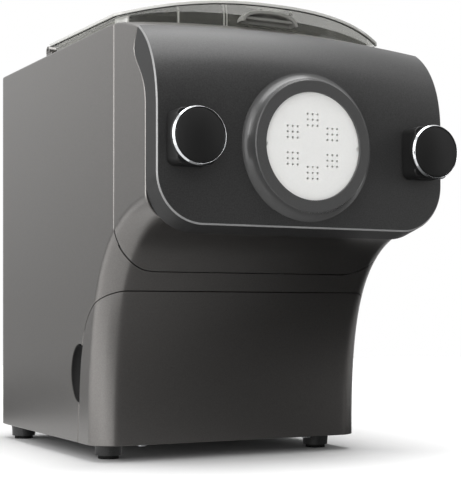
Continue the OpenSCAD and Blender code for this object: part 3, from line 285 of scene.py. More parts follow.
def moulded(name, colour, roughness, grain, contrast=0.1, relief=0.00003, **sockets):
    """A moulded plastic: mottled by its pigment, and lightly pitted by its mould. grain is in metres."""
    material = new_material(name)
    tree = material.node_tree
    place = add_node(tree, "TexCoord").outputs["Object"]
    base = linear(colour)
    dark = [c * (1 - contrast) for c in base[:3]] + [1.0]
    light = [c * (1 + contrast) for c in base[:3]] + [1.0]
    mottle = add_node(tree, "TexNoise", {"Vector": place, "Scale": 1 / grain, "Detail": 3.0}).outputs["Fac"]
    tone = add_node(tree, "Mix", {0: mottle, 6: dark, 7: light}, data_type="RGBA").outputs[2]
    gloss = add_node(
        tree, "MapRange", {"Value": mottle, "To Min": roughness * 0.85, "To Max": roughness * 1.15}
    ).outputs[0]
    pits = add_node(tree, "TexNoise", {"Vector": place, "Scale": 2 / grain, "Detail": 2.0}).outputs["Fac"]
    bump = add_node(tree, "Bump", {"Height": pits, "Distance": relief}).outputs[0]
    shader = add_node(
        tree, "BsdfPrincipled", {"Base Color": tone, "Roughness": gloss, "Normal": bump, **sockets}
    )
    add_node(tree, "OutputMaterial", {"Surface": shader.outputs[0]})
    return material


def curve(handles, steps):
    """Points on a cubic curve, given by its two ends and the handles between them."""
    a, b, c, d = [Vector(point).to_3d() for point in handles]
    return [tuple(p[:2]) for p in interpolate_bezier(a, b, c, d, steps)]


def moved_in(line, w):
    """A line of (depth, height) points, moved by w to its right, which is into the housing."""
    moved = []
    for i, (t, z) in enumerate(line):
        before, after = line[max(i - 1, 0)], line[min(i + 1, len(line) - 1)]
        way = Vector((after[0] - before[0], after[1] - before[1])).normalized()
        moved.append((t + w * way[1], z - w * way[0]))
    return moved


def arch(x):
    """1 in the middle of the housing and 0 at its sides."""
    return 1 - (x / HALF_W) ** 2


def prism(outline, low, high, across="X"):
    """A closed solid: an outline of (depth, height) or (across, height), drawn out along X or Y."""
    bm = bmesh.new()
    corners = [
        bm.verts.new((low, FACE_Y + a, z) if across == "X" else (a, FACE_Y + low, z)) for a, z in outline
    ]
    start = bm.faces.new(corners)
    end = bmesh.ops.extrude_face_region(bm, geom=[start])["geom"]
    step = (high - low, 0, 0) if across == "X" else (0, high - low, 0)
    bmesh.ops.translate(bm, vec=step, verts=[v for v in end if isinstance(v, bmesh.types.BMVert)])
    bmesh.ops.recalc_face_normals(bm, faces=bm.faces)
    return bm


def settle(piece):
    """Makes a piece's modifiers part of its mesh."""
    done = piece.evaluated_get(bpy.context.evaluated_depsgraph_get())
    mesh = bpy.data.meshes.new_from_object(done)
    piece.modifiers.clear()
    piece.data = mesh


def cut(piece, tool, how="DIFFERENCE"):
    """Cuts or trims a piece with a tool, which is used up."""
    knife = piece.modifiers.new("cut", "BOOLEAN")
    knife.solver = "EXACT"
    knife.operation = how
    knife.object = tool
    settle(piece)
    bpy.data.objects.remove(tool)


def keep_flat(piece):
    """Lets large flat faces keep their own shading, beside rounded edges."""
    flatten = piece.modifiers.new("flat faces stay flat", "WEIGHTED_NORMAL")
    flatten.mode = "FACE_AREA"
    flatten.weight = 50
    flatten.keep_sharp = True


def ease_edges(piece, width, angle=32, crisp=None):
    """Rounds a piece's edges sharper than the angle a little, as a mould leaves them, and smooths
    the rest. The two steps beside a rolled edge stay crisp, and so does what crisp holds for."""
    bm = bmesh.new()
    bm.from_mesh(piece.data)
    bmesh.ops.remove_doubles(bm, verts=bm.verts, dist=MERGE)
    bmesh.ops.dissolve_degenerate(bm, edges=bm.edges, dist=SLIVER)
    for face in bm.faces:
        face.smooth = True
    weight = bm.edges.layers.float.new("bevel_weight_edge")
    for edge in bm.edges:
        flat = [abs(face.normal.x) > 1 - FLAT or abs(face.normal.x) < FLAT for face in edge.link_faces]
        step = any(flat) and not all(flat) and edge.calc_face_angle(0) > STEP
        edge.smooth = not (step and max(v.co.z for v in edge.verts) < TOP_BAND)
        kept = crisp is not None and all(crisp(v.co) for v in edge.verts)
        sharp = edge.calc_face_angle(0) > math.radians(angle)
        edge[weight] = 1.0 if sharp and not kept else 0.0
        if sharp and kept:
            edge.smooth = False
    bm.to_mesh(piece.data)
    bm.free()
    ease = piece.modifiers.new("eased edges", "BEVEL")
    ease.width = width
    ease.segments = 2
    ease.limit_method = "WEIGHT"
    ease.use_clamp_overlap = False
    ease.harden_normals = True
    keep_flat(piece)
    settle(piece)


SEAMS_LOW = DRAWER_TOP - 0.03
SEAMS_HIGH = NECK_Z + NECK_R - 0.001


def kept_crisp(spot):
    """Whether a spot lies where the seams run round the rolled edges, or on a finger recess."""
    if math.hypot(spot.y - FACE_Y - RECESS_T, spot.z - RECESS_Z) < RECESS_SIZE[2] + BOWL_WALL:
        return True
    return SEAMS_LOW < spot.z < SEAMS_HIGH


def slice_across(bm, spots):
    """Cuts a shape at planes on both sides of its middle, so that its top can be arched."""
    for x in [s * k for s in (-1, 1) for k in spots]:
        geom = bm.verts[:] + bm.edges[:] + bm.faces[:]
        bmesh.ops.bisect_plane(bm, geom=geom, plane_co=(x, 0, 0), plane_no=(1, 0, 0), dist=TINY)


def round_edges(bm, edges, r, segments, profile=0.5, material=-1):
    """Rounds or chamfers some edges of a shape."""
    bmesh.ops.bevel(
        bm, geom=edges, offset=r, segments=segments, profile=profile, affect="EDGES", material=material,
        clamp_overlap=False
    )


def housing_solid(w):
    """The whole housing as one solid, with its outside moved inwards by w."""
    low = BASE_Z if w == 0 else BASE_Z - PAST
    front = moved_in(curve(SWEEP, 25), w)
    brow = [(t, z - w) for t, z in curve(BROW, 10)]
    rear = [(DEPTH - w, REAR_H - w), (DEPTH - w, low)]
    foot = [] if w == 0 else [(LOWER_T + w, low)]
    half = HALF_W - w
    bm = prism(foot + front + [(HEAD_T + w, brow[0][1])] + brow + rear, -half, half)

    def side_edges(test):
        """The edges on the outline of either side, where test holds at both ends."""
        return [
            e for e in bm.edges
            if abs(e.verts[0].co.x - e.verts[1].co.x) < TINY and abs(abs(e.verts[0].co.x) - half) < TINY
            and all(test(v.co.y - FACE_Y, v.co.z) for v in e.verts)
        ]

    sweep = side_edges(lambda t, z: z < HEAD_Z + w + 10 * TINY and t < LOWER_T + w + 10 * TINY)
    round_edges(bm, sweep, EDGE_R - w, 12, ROLL)
    upright = side_edges(lambda t, z: t > DEPTH - w - TINY)
    round_edges(bm, upright, REAR_R - w, 6)
    slice_across(bm, CROWN_BENDS)
    top = brow + rear[:1]
    for v in bm.verts:
        t = v.co.y - FACE_Y
        line = next(
            (z0 + (z1 - z0) * (t - t0) / (t1 - t0) for (t0, z0), (t1, z1) in zip(top, top[1:])
             if t0 - TINY <= t <= t1 + TINY), None
        )
        if line is not None and abs(v.co.z - line) < 10 * TINY:
            k = max(0.0, (t - BROW_T) / (DEPTH - BROW_T))
            v.co.z += (CROWN + (CROWN_REAR - CROWN) * k) * arch(v.co.x)
    if w == 0:
        rim = [
            e for e in bm.edges
            if min(v.co.z for v in e.verts) > RIM_LOW and e.calc_face_angle(0) > 1.0
            and min(v.co.y for v in e.verts) > FACE_Y + RIM_T
        ]
        round_edges(bm, rim, RIM_R, 3)
    return to_mesh("housing_solid", bm)


PANEL_SIDE = 0.0168
PANEL_TOP_T = 0.0295
PANEL_BACK_T = 0.0265
PANEL_EDGE = curve([(PANEL_SIDE, 0.236), (0.0176, 0.256), (0.0332, 0.261), (0.0352, 0.2726)], 10) + [
    (0.034, 0.2765), (PANEL_TOP_T, 0.2854), (PANEL_BACK_T, 0.2964)
]
# Tools for the head and the panel start so far before the panel's face, and at this height.
AHEAD = -0.04
UNDER_HEAD = 0.09


def before_panel_edge(back):
    """All that lies before the front panel's rear edge, moved back a little."""
    outline = [(AHEAD, ABOVE), (AHEAD, UNDER_HEAD), (PANEL_SIDE + back, UNDER_HEAD)]
    outline += [(t + back, z) for t, z in PANEL_EDGE] + [(PANEL_BACK_T + back, ABOVE)]
    return to_mesh("before_panel", prism(outline, -HALF_W - PAST, HALF_W + PAST))


def round_corner(x, z, r, steps):
    """A quarter circle about a middle, from its foot round to its right."""
    turns = [math.radians(90) * i / steps for i in range(steps + 1)]
    return [(x + r * math.sin(a), z - r * math.cos(a)) for a in turns]


def head_region(grow):
    """The part of the housing before the neck seam, which has round lower corners."""
    upper, lower, step = NECK_T + grow, NECK_T + NECK_BACK + grow, NECK_Z + NECK_STEP + grow
    side = [(AHEAD, UNDER_HEAD), (lower, UNDER_HEAD), (lower, step)]
    side += [(upper, step), (upper, ABOVE), (AHEAD, ABOVE)]
    region = to_mesh("head_region", prism(side, -HALF_W - 2 * PAST, HALF_W + 2 * PAST))
    middle = NECK_Z + NECK_R
    half = round_corner(HALF_W + NECK_OUT - NECK_R, middle, NECK_R + grow, 16)
    half += [(HALF_W + PAST, middle), (HALF_W + PAST, ABOVE + PAST)]
    front = half + [(-x, z) for x, z in reversed(half)]
    cut(region, to_mesh("neck", prism(front, 2 * AHEAD, lower + PAST, across="Y")), "INTERSECT")
    return region


def drawer_region(grow):
    """The part of the housing before the drawer front's rear edge."""
    front_t = LOWER_T - 0.06
    outline = [(front_t, DRAWER_TOP + 0.0015 + grow), (front_t, -REACH), (DRAWER_T + grow, -REACH)]
    outline += moved_in(curve(DRAWER_EDGE, 22), grow)
    return to_mesh("drawer_region", prism(outline, -HALF_W - PAST, HALF_W + PAST))


def block(low, high):
    """A plain block between two corners, for cutting an opening."""
    bm = bmesh.new()
    bmesh.ops.create_cube(bm, size=1.0)
    size = Vector(high) - Vector(low)
    bmesh.ops.scale(bm, vec=size, verts=bm.verts)
    bmesh.ops.translate(bm, vec=(Vector(high) + Vector(low)) / 2, verts=bm.verts)
    return to_mesh("block", bm)


RECESS_T = 0.134
RECESS_Z = 0.061
RECESS_SIZE = (0.009, 0.0158, 0.0198)
BOWL_WALL = 0.001
SLACK = 0.0002


def recess(side, grow):
    """The rounded hollow for a fingertip behind the drawer front's rear edge."""
    bm = bmesh.new()
    bmesh.ops.create_uvsphere(bm, u_segments=48, v_segments=32, radius=1.0)
    bmesh.ops.scale(bm, vec=[r + grow for r in RECESS_SIZE], verts=bm.verts)
    bmesh.ops.translate(bm, vec=(side * HALF_W, FACE_Y + RECESS_T, RECESS_Z), verts=bm.verts)
    return to_mesh("recess", bm)


def rod(name, spot, r, length, axis, segments):
    """A round bar about a spot, turned from upright about the given axis."""
    bm = bmesh.new()
    bmesh.ops.create_cone(bm, cap_ends=True, segments=segments, radius1=r, radius2=r, depth=length)
    bmesh.ops.rotate(bm, cent=(0, 0, 0), matrix=Matrix.Rotation(math.radians(90), 3, axis), verts=bm.verts)
    bmesh.ops.translate(bm, vec=spot, verts=bm.verts)
    return to_mesh(name, bm)


def drill(x, r, low=-REACH, high=6 * REACH, z=DRIVE_Z):
    """A round tool from front to rear."""
    return rod("drill", (x, FACE_Y + (low + high) / 2, z), r, high - low, "X", 96)


# Warm grey ABS: its mica gives a fine grain, and its satin gloss a soft wide highlight.
mica_abs = moulded("mica_grey_abs", "#757371", 0.3, 0.0009, contrast=0.2, relief=0.000006, Metallic=0.93)

body = housing_solid(0)
cut(body, housing_solid(WALL))
cut(body, head_region(SEAM))
cut(body, drawer_region(SEAM))
cut(body, before_panel_edge(SEAM))
for s in (-1, 1):
    cut(body, recess(s, BOWL_WALL + HAIR))
trough_low, trough_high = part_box("mixing_chamber")
MOUTH_HALF = 0.066
TROUGH_SLACK = (0.001, 0.002)
cut(body, block(
    (-MOUTH_HALF, trough_low[1] - TROUGH_SLACK[0], TOP_BAND),
    (MOUTH_HALF, trough_high[1] + TROUGH_SLACK[1], ABOVE)
))
deck_low, deck_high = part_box("control_deck")
cut(body, block(
    (deck_low[0] - SLACK, deck_low[1] - SLACK, TOP_BAND), (deck_high[0] + SLACK, deck_high[1] + SLACK, ABOVE)
))
grille_low, grille_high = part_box("rear_grille")
cut(body, block(
    (grille_low[0] - SLACK, grille_low[1] - 5 * SLACK, grille_low[2] - SLACK),
    (grille_high[0] + SLACK, grille_high[1] + REACH, grille_high[2] + SLACK)
))
gland_low, gland_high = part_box("cord_gland")
GLAND_X = (gland_low[0] + gland_high[0]) / 2
GLAND_Z = (gland_low[2] + gland_high[2]) / 2
GLAND_R = 0.0072
cut(body, drill(GLAND_X, GLAND_R, DEPTH - 2 * REACH, DEPTH + 2 * REACH, GLAND_Z))
body.name = "body_moulding"
ease_edges(body, 0.0008, 40, kept_crisp)
body.data.materials.append(mica_abs)
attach(body, "root")
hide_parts("body_shell")

head = housing_solid(0)
cut(head, head_region(0), "INTERSECT")
cavity = housing_solid(WALL)
cut(cavity, before_panel_edge(SEAM + WALL))
cut(head, cavity)
cut(head, before_panel_edge(SEAM))
cut(head, drill(0, TUBE_HOLE_R))
for x in KNOB_SPOTS:
    cut(head, drill(x, STUD_HOLE_R))
head.name = "head_moulding"
ease_edges(head, 0.0006, 40, kept_crisp)
for vertex in head.data.vertices:
    vertex.co.x = max(-HALF_W, min(HALF_W, vertex.co.x))
head.data.materials.append(mica_abs)
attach(head, "root")
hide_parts("head_housing")

drawer = housing_solid(0)
cut(drawer, housing_solid(WALL))
cut(drawer, drawer_region(0), "INTERSECT")
drawer.name = "drawer_moulding"
ease_edges(drawer, 0.0005, 55, kept_crisp)
drawer.data.materials.append(mica_abs)
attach(drawer, "drawer")
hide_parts("drawer_front")

# Finger recesses: each is a bowl set into the side wall, closed towards the inside. It wears the dull
# black TPE of the rubber parts, with no highlight to speak of, as painted shade for the deep hollow.
BOWL_INSET = 0.0003
BOWL_FRONT_T = DRAWER_T - 0.002
BOWL_FAR = (0.17, 0.1)  # depth and height that lie past the bowl
black_rubber_and_recess_shade = moulded("black_rubber_and_recess_shade", "#101010", 0.75, 0.0008, contrast=0.2, **{"Specular IOR Level": 0.2})
for side, name in ((-1, "recess_bowl_left"), (1, "recess_bowl_right")):
    bowl = recess(side, BOWL_WALL)
    cut(bowl, recess(side, 0.0))
    inner = HALF_W - BOWL_INSET
    cut(bowl, block(
        (-inner, FACE_Y + BOWL_FRONT_T, BASE_Z), (inner, FACE_Y + BOWL_FAR[0], BOWL_FAR[1])
    ), "INTERSECT")
    bowl.name = name
    ease_edges(bowl, 0.0001)
    bowl.data.materials.append(black_rubber_and_recess_shade)
    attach(bowl, "root")

# --- The front panel ----------------------------------------------------------------------
# A charcoal moulding with side walls, open behind. Its face rolls back into the crown, its
# lower corners are round, and a chamfer runs round its edge. Two knobs hold it.
PANEL_WALL = 0.0026
PANEL_DROP = 0.0045
PANEL_Z = panel_low[2] + PANEL_DROP
PANEL_DRAFT = PANEL_DROP / PANEL_SIDE
PANEL_TOP = 0.2864
PANEL_RISE = 0.0035
PANEL_FAR = 0.05
ROLL_Z = 0.228
ROLL_BLEND = 0.03
PANEL_ROLL = [
    (0.0, ROLL_Z), (0.0, 0.255), (PANEL_TOP_T - 0.0195, PANEL_TOP - 0.0115), (PANEL_TOP_T, PANEL_TOP)
]
PANEL_BENDS = (0.008, 0.024, 0.04, 0.056, 0.072, 0.086, 0.097, 0.104)
PANEL_R = 0.032
CHAMFER = 0.0009
CHAMFERED = 0.6  # edges of the face that turn by more than this, in radians, are chamfered
RING_HOLE_R = 0.0445
KNOB_HOLE_R = 0.0081


def panel_solid(w):
    """The panel as a solid block, with its outside moved inwards by w."""
    roll = moved_in(curve(PANEL_ROLL, 21), w)
    side = [(w, UNDER_HEAD)] + roll + [(PANEL_FAR, PANEL_TOP + PANEL_RISE - w), (PANEL_FAR, UNDER_HEAD)]
    bm = prism(side, -HALF_W - PAST, HALF_W + PAST)
    slice_across(bm, PANEL_BENDS)
    for v in bm.verts:
        above = v.co.z - ROLL_Z + w
        if above > -HAIR:
            v.co.z += CROWN * arch(v.co.x) * min(1.0, above / ROLL_BLEND)
    block_out = to_mesh("panel_block", bm)
    half, r = HALF_W - w, PANEL_R - w
    front = round_corner(half - r, PANEL_Z + w + r, r, 20) + [(half, ABOVE)]
    front += [(-x, z) for x, z in reversed(front)]
    bm = prism(front, -REACH, PANEL_FAR - PAST, across="Y")
    for v in bm.verts:
        if v.co.z < PANEL_TOP:
            v.co.z -= PANEL_DRAFT * (v.co.y - FACE_Y)
    cut(block_out, to_mesh("panel_front", bm), "INTERSECT")
    return block_out


# Charcoal ABS with metal flakes from a spark-eroded mould, which breaks its reflections up. The
# chamfer is a little glossier and coloured light grey: a painted highlight line. The walls behind it
# are coloured darker and duller: painted shade.
spark_abs = moulded(
    "charcoal_textured_abs", "#3e3e3e", 0.36, 0.0009, contrast=0.5, relief=0.00002, Metallic=0.4, IOR=1.42
)
chamfer_highlight = moulded("charcoal_chamfer_painted_highlight", "#868686", 0.3, 0.002, contrast=0.05, relief=0.0, Metallic=0.1)
painted_wall_shade = moulded("charcoal_wall_abs", "#2a2a2a", 0.42, 0.0009, contrast=0.3, relief=0.00002,
                   **{"Specular IOR Level": 0.2})
panel = panel_solid(0)
for finish in (spark_abs, chamfer_highlight, painted_wall_shade):
    panel.data.materials.append(finish)
bm = bmesh.new()
bm.from_mesh(panel.data)
bmesh.ops.remove_doubles(bm, verts=bm.verts, dist=HAIR)
bmesh.ops.dissolve_degenerate(bm, edges=bm.edges, dist=HAIR / 2)
rim = [
    e for e in bm.edges
    if e.calc_face_angle(0) > CHAMFERED and max(v.co.y for v in e.verts) < FACE_Y + PANEL_TOP_T + 5 * HAIR
]
# The chamfer takes the second, lighter material: a painted highlight line.
round_edges(bm, rim, CHAMFER, 1, material=1)
bm.to_mesh(panel.data)
bm.free()
cut(panel, panel_solid(PANEL_WALL))
cut(panel, before_panel_edge(0.0), "INTERSECT")
cut(panel, drill(0, RING_HOLE_R, -2 * REACH))
for x in KNOB_SPOTS:
    cut(panel, drill(x, KNOB_HOLE_R, -2 * REACH))
panel.name = "panel_moulding"
ease_edges(panel, 0.00015, 25)
# The side walls and the low walls round the lower corners take the third, darker material: painted shade.
for face in panel.data.polygons:
    low_wall = abs(face.normal.y) < 0.35 and face.center.z < PANEL_Z + PANEL_R
    if face.material_index == 0 and (low_wall or abs(face.normal.x) > 0.98):
        face.material_index = 2
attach(panel, "front_panel")
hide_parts("front_panel")

# --- The outlet ring ----------------------------------------------------------------------
# A dark glossy ring turned by its shape: it flares out of the panel, stands up nearly
# straight and laps over the shaping disc's edge. It is welded to the panel.


def turned(name, outline, x=0.0, steps=128):
    """A piece with a turned shape: points of (radius, reach in front of the panel), outside first."""
    bm = bmesh.new()
    loop = [bm.verts.new((x + r, FACE_Y - out, DRIVE_Z)) for r, out in outline]
    pairs = list(zip(loop, loop[1:]))
    if outline[0][0] > 0 or outline[-1][0] > 0:
        pairs.append((loop[-1], loop[0]))
    for a, b in pairs:
        bm.edges.new((a, b))
    bmesh.ops.spin(
        bm, geom=bm.verts[:] + bm.edges[:], cent=(x, FACE_Y, DRIVE_Z), axis=(0, 1, 0),
        angle=math.radians(360), steps=steps, use_merge=True
    )
    bmesh.ops.remove_doubles(bm, verts=bm.verts, dist=TINY)
    bmesh.ops.recalc_face_normals(bm, faces=bm.faces)
    for face in bm.faces:
        face.smooth = True
    for edge in bm.edges:
        edge.smooth = edge.calc_face_angle(0) < math.radians(35)
    return to_mesh(name, bm)


def rounded(corners, r, steps=4):
    """An outline of (radius, reach) points with each corner rounded by about r."""
    line = []
    for i, corner in enumerate(corners):
        before, after = Vector(corners[i - 1]), Vector(corners[(i + 1) % len(corners)])
        here = Vector(corner)
        if here[0] == 0:
            line.append(tuple(here))
            continue
        a = here + (before - here).normalized() * min(r, (before - here).length / 2.1)
        b = here + (after - here).normalized() * min(r, (after - here).length / 2.1)
        for k in (j / steps for j in range(steps + 1)):
            line.append(tuple(a.lerp(here, k).lerp(here.lerp(b, k), k)))
    return line


RING_BASE_R = 0.0485
RING_R = 0.0426
RING_OUT = 0.0086
VIEW_R = 0.0349
LIP = 0.0015
RING_BACK = -0.008
RING_FIT = 0.0002
FLARE = [
    (RING_BASE_R, 0.0006), (RING_R + 0.0024, 0.0014), (RING_R + 0.0009, 0.004),
    (RING_R + 0.0004, RING_OUT - 0.0006)
]
DISC_GAP = 0.0006
lip_r = disc_high[0] + DISC_GAP
ring = turned("outlet_ring_moulding", curve(FLARE, 14) + rounded([
    (RING_R, RING_OUT), (VIEW_R + RING_FIT, RING_OUT), (VIEW_R, RING_OUT - LIP)
], 0.0004) + [
    (lip_r, RING_OUT - LIP), (lip_r, RING_BACK), (RING_HOLE_R - RING_FIT, RING_BACK),
    (RING_HOLE_R - RING_FIT, 0.0), (RING_BASE_R, 0.0)
], steps=160)
# Dark grey PC/ABS, polished in the mould: a clear soft reflection along the flare.
gloss_ring = moulded("dark_grey_gloss_pc", "#494949", 0.22, 0.0011, contrast=0.08, relief=0.00001)
ring.data.materials.append(gloss_ring)
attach(ring, "front_panel")
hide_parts("outlet_ring")

# --- The knobs ----------------------------------------------------------------------------
# Each knob is a black grip, which is a rounded block behind a round rim, with a chrome-plated
# ring and a matt black cap pressed on. A steel stud locks the panel by a quarter turn.
KNOB_R = 0.0182
KNOB_OUT = 0.0213
CAP_R = KNOB_R - 0.001
RING_DEEP = 0.0024
RIM_DEEP = 0.0032
RIM_BORE = 0.006
GRIP_SIZE = (0.0134, 0.0172, 0.005)
GRIP_BORE = 0.00505
KNOB_GAP = 0.0005
# Matt black ABS with a fine grain, and chrome plate on ABS: a mirror, slightly blurred.
matt_black = moulded("matt_black_abs", "#1a1a1a", 0.42, 0.0006, contrast=0.2, relief=0.00004,
                     **{"Specular IOR Level": 0.25})


def metal(name, colour, roughness, grain=0.0008, relief=0.000004):
    """A bare or plated metal: its grain varies its gloss."""
    material = new_material(name)
    tree = material.node_tree
    place = add_node(tree, "TexCoord").outputs["Object"]
    mottle = add_node(tree, "TexNoise", {"Vector": place, "Scale": 1 / grain, "Detail": 3.0}).outputs["Fac"]
    gloss = add_node(
        tree, "MapRange", {"Value": mottle, "To Min": roughness * 0.7, "To Max": roughness * 1.3}
    ).outputs[0]
    bump = add_node(tree, "Bump", {"Height": mottle, "Distance": relief}).outputs[0]
    shader = add_node(tree, "BsdfPrincipled", {
        "Base Color": linear(colour), "Metallic": 1.0, "Roughness": gloss, "Normal": bump
    })
    add_node(tree, "OutputMaterial", {"Surface": shader.outputs[0]})
    return material


chrome = metal("chrome_plate", "#dadcde", 0.09)
for side, name in ((-1, "knob_left"), (1, "knob_right")):
    x = side * KNOB_X
    groove, rim_out = CAP_R - 0.0006, KNOB_OUT - RING_DEEP
    cap = turned(name + "_face", [
        (0.0, KNOB_OUT - 0.0001), (groove - 0.0007, KNOB_OUT - 0.0001), (groove - 0.0002, KNOB_OUT - 0.0004),
        (groove, KNOB_OUT - 0.001), (CAP_R - HAIR, KNOB_OUT - 0.0011), (CAP_R - HAIR, rim_out + 0.0002),
        (0.0, rim_out + 0.0002)
    ], x)
    cap.data.materials.append(matt_black)
    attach(cap, name)
    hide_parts(name + "_cap")
    band = turned(name + "_chrome", rounded([
        (CAP_R, KNOB_OUT - 0.0002), (CAP_R + 0.0002, KNOB_OUT), (KNOB_R - 0.0003, KNOB_OUT - 0.0011),
        (KNOB_R, KNOB_OUT - 0.0016), (KNOB_R, rim_out), (CAP_R, rim_out)
    ], 0.00025), x)
    band.data.materials.append(chrome)
    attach(band, name)
    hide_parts(name + "_ring")
    rim_piece = turned(name + "_rim", rounded([
        (RIM_BORE, rim_out), (KNOB_R - 0.0004, rim_out), (KNOB_R - 0.0003, rim_out - RIM_DEEP),
        (RIM_BORE, rim_out - RIM_DEEP)
    ], 0.0004), x)
    half_w, half_h, r = GRIP_SIZE
    quarter = [math.radians(90) * i / 8 for i in range(9)]
    upper = [(half_w - r + r * math.cos(a), half_h - r + r * math.sin(a)) for a in quarter]
    upper += [(-u, v) for u, v in reversed(upper)]
    outline = upper + [(u, -v) for u, v in reversed(upper)]
    bm = prism([(x + u, DRIVE_Z + v) for u, v in outline], -(rim_out - RIM_DEEP), -KNOB_GAP, across="Y")
    grip = to_mesh(name + "_waist", bm)
    cut(grip, drill(x, GRIP_BORE, -3 * REACH, REACH))
    ease_edges(grip, 0.0007, 24)
    for piece in (rim_piece, grip):
        piece.data.materials.append(matt_black)
        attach(piece, name)
        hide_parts(name + "_grip")

# --- The lid ------------------------------------------------------------------------------
# A smoky clear polycarbonate cover, arched like the housing. Its skirt stands inside the
# housing's top, a bridge at the front gives a grip, and two ears behind turn on steel pins.
lid_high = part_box("lid_cover")[1]
LID_FRONT_T = 0.046
LID_CORNER_T = 0.075
LID_REAR_T = lid_high[1] - FACE_Y
LID_HALF = lid_high[0]
LID_SIDE_Z = SIDE_H + 0.0074
CREST_Z = lid_high[2]
REAR_Z = SIDE_H + 0.0116
LID_H = 0.0025
PROUD = 0.0001
REAR_SHORT = 0.0014  # the cover's rear edge stands back, so that it clears the housing when open
SKIRT_HALF = LID_HALF - 0.005
SKIRT_LOW = SIDE_H - 0.006
SKIRT_WALL = 0.002
SKIRT_BACK = 0.024
SKIRT_BOW = 0.018
# The side skirts run from SIDE_START behind the lid's corner to SIDE_END before the hinge lugs.
SIDE_START = 0.0085
SIDE_END = 0.001
pin_low, pin_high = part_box("lid_hinge_pins")
HINGE = ((pin_low[1] + pin_high[1]) / 2, (pin_low[2] + pin_high[2]) / 2)
PIN_IN = LID_HALF - 0.0075
PIN_BORE = 0.00205
EAR_W = 0.008
EAR_R = 0.0032
EAR_GAP = 0.0015
WEB_BACK = 0.0015


def lid_front(x):
    """Depth of the lid's front edge at a distance from the middle."""
    return LID_FRONT_T + (LID_CORNER_T - LID_FRONT_T) * (abs(x) / LID_HALF) ** 2.6


def lid_height(x, t):
    """Height of the lid's upper face."""
    edge = LID_SIDE_Z + (CREST_Z - LID_SIDE_Z) * (1 - (abs(x) / LID_HALF) ** 2.2)
    return edge + (REAR_Z - edge) * (t - lid_front(x)) / (LID_REAR_T - lid_front(x))


def sheet_of(columns, rows, place):
    """A grid whose two parameters, from 0 to 1, are placed by a rule."""
    bm = bmesh.new()
    bmesh.ops.create_grid(bm, x_segments=columns, y_segments=rows, size=0.5)
    for v in bm.verts:
        v.co = place(v.co.x + 0.5, v.co.y + 0.5)
    return bm


def thicken(bm, step):
    """Gives a sheet its thickness by drawing it out along a step."""
    drawn = bmesh.ops.extrude_face_region(bm, geom=bm.faces[:])["geom"]
    bmesh.ops.translate(bm, vec=step, verts=[v for v in drawn if isinstance(v, bmesh.types.BMVert)])
    bmesh.ops.recalc_face_normals(bm, faces=bm.faces)
    return bm


def lid_point(u, v):
    """A point on the cover's lower face: across by u, and from its front to its rear edge by v."""
    x = (2 * u - 1) * (LID_HALF - PROUD)
    t = lid_front(x) + PROUD + (LID_REAR_T - REAR_SHORT - lid_front(x) - PROUD) * v
    return x, FACE_Y + t, lid_height(x, t) - LID_H


cover = to_mesh("lid_shell", thicken(sheet_of(72, 12, lid_point), (0, 0, LID_H)))
LUG_T = LID_REAR_T - 0.0115
for s in (-1, 1):
    inner, outer = sorted((s * PIN_IN, s * (LID_HALF + PAST)))
    cut(cover, block((inner, FACE_Y + LUG_T, SIDE_H), (outer, FACE_Y + LUG_T + 2 * REACH, ABOVE)))
ease_edges(cover, 0.0007)


def skirt_line(x):
    """Depth of the skirt's front wall, which stands back most in the middle."""
    return lid_front(x) + SKIRT_BACK - SKIRT_BOW * (x / SKIRT_HALF) ** 2


def under_cover(x, t, gap, v):
    """A height on the skirt: from its lower edge, at 0, to a gap under the cover, at 1."""
    return SKIRT_LOW + (lid_height(x, t) - LID_H - gap - SKIRT_LOW) * v


def skirt_front(u, v):
    """A point on the skirt's front wall: across by u, and up by v."""
    x = (2 * u - 1) * SKIRT_HALF
    t = skirt_line(x)
    return x, FACE_Y + t, under_cover(x, t, PROUD, v)


parts = [to_mesh("lid_skirt_front", thicken(sheet_of(48, 2, skirt_front), (0, SKIRT_WALL, 0)))]
for s, name in ((-1, "lid_skirt_left"), (1, "lid_skirt_right")):
    x = s * SKIRT_HALF

    def skirt_side(u, v, x=x):
        """A point on one of the skirt's side walls: backwards by u, and up by v."""
        t = LID_CORNER_T + SIDE_START + (LUG_T - LID_CORNER_T - SIDE_START - SIDE_END) * u
        return x, FACE_Y + t, under_cover(x, t, 0.0008, v)

    parts.append(to_mesh(name, thicken(sheet_of(12, 2, skirt_side), (-s * SKIRT_WALL, 0, 0))))
for piece in parts:
    cut(piece, housing_solid(-SEAM))
    ease_edges(piece, 0.0003)
for s, name in ((-1, "lid_ear_left"), (1, "lid_ear_right")):
    x = s * (PIN_IN - EAR_GAP - EAR_W / 2)
    ear = rod(name, (x, *HINGE), EAR_R, EAR_W, "Y", 48)
    web = block((x - EAR_W / 2, HINGE[0] - EAR_R, HINGE[1]),
                (x + EAR_W / 2, HINGE[0] + EAR_R - WEB_BACK, REAR_Z - LID_H - 0.0002))
    cut(ear, web, "UNION")
    cut(ear, rod("bore", (x, *HINGE), PIN_BORE, 2 * REACH, "Y", 48))
    ease_edges(ear, 0.0002)
    parts.append(ear)
cover.name = "lid_cover_shell"
parts.append(cover)


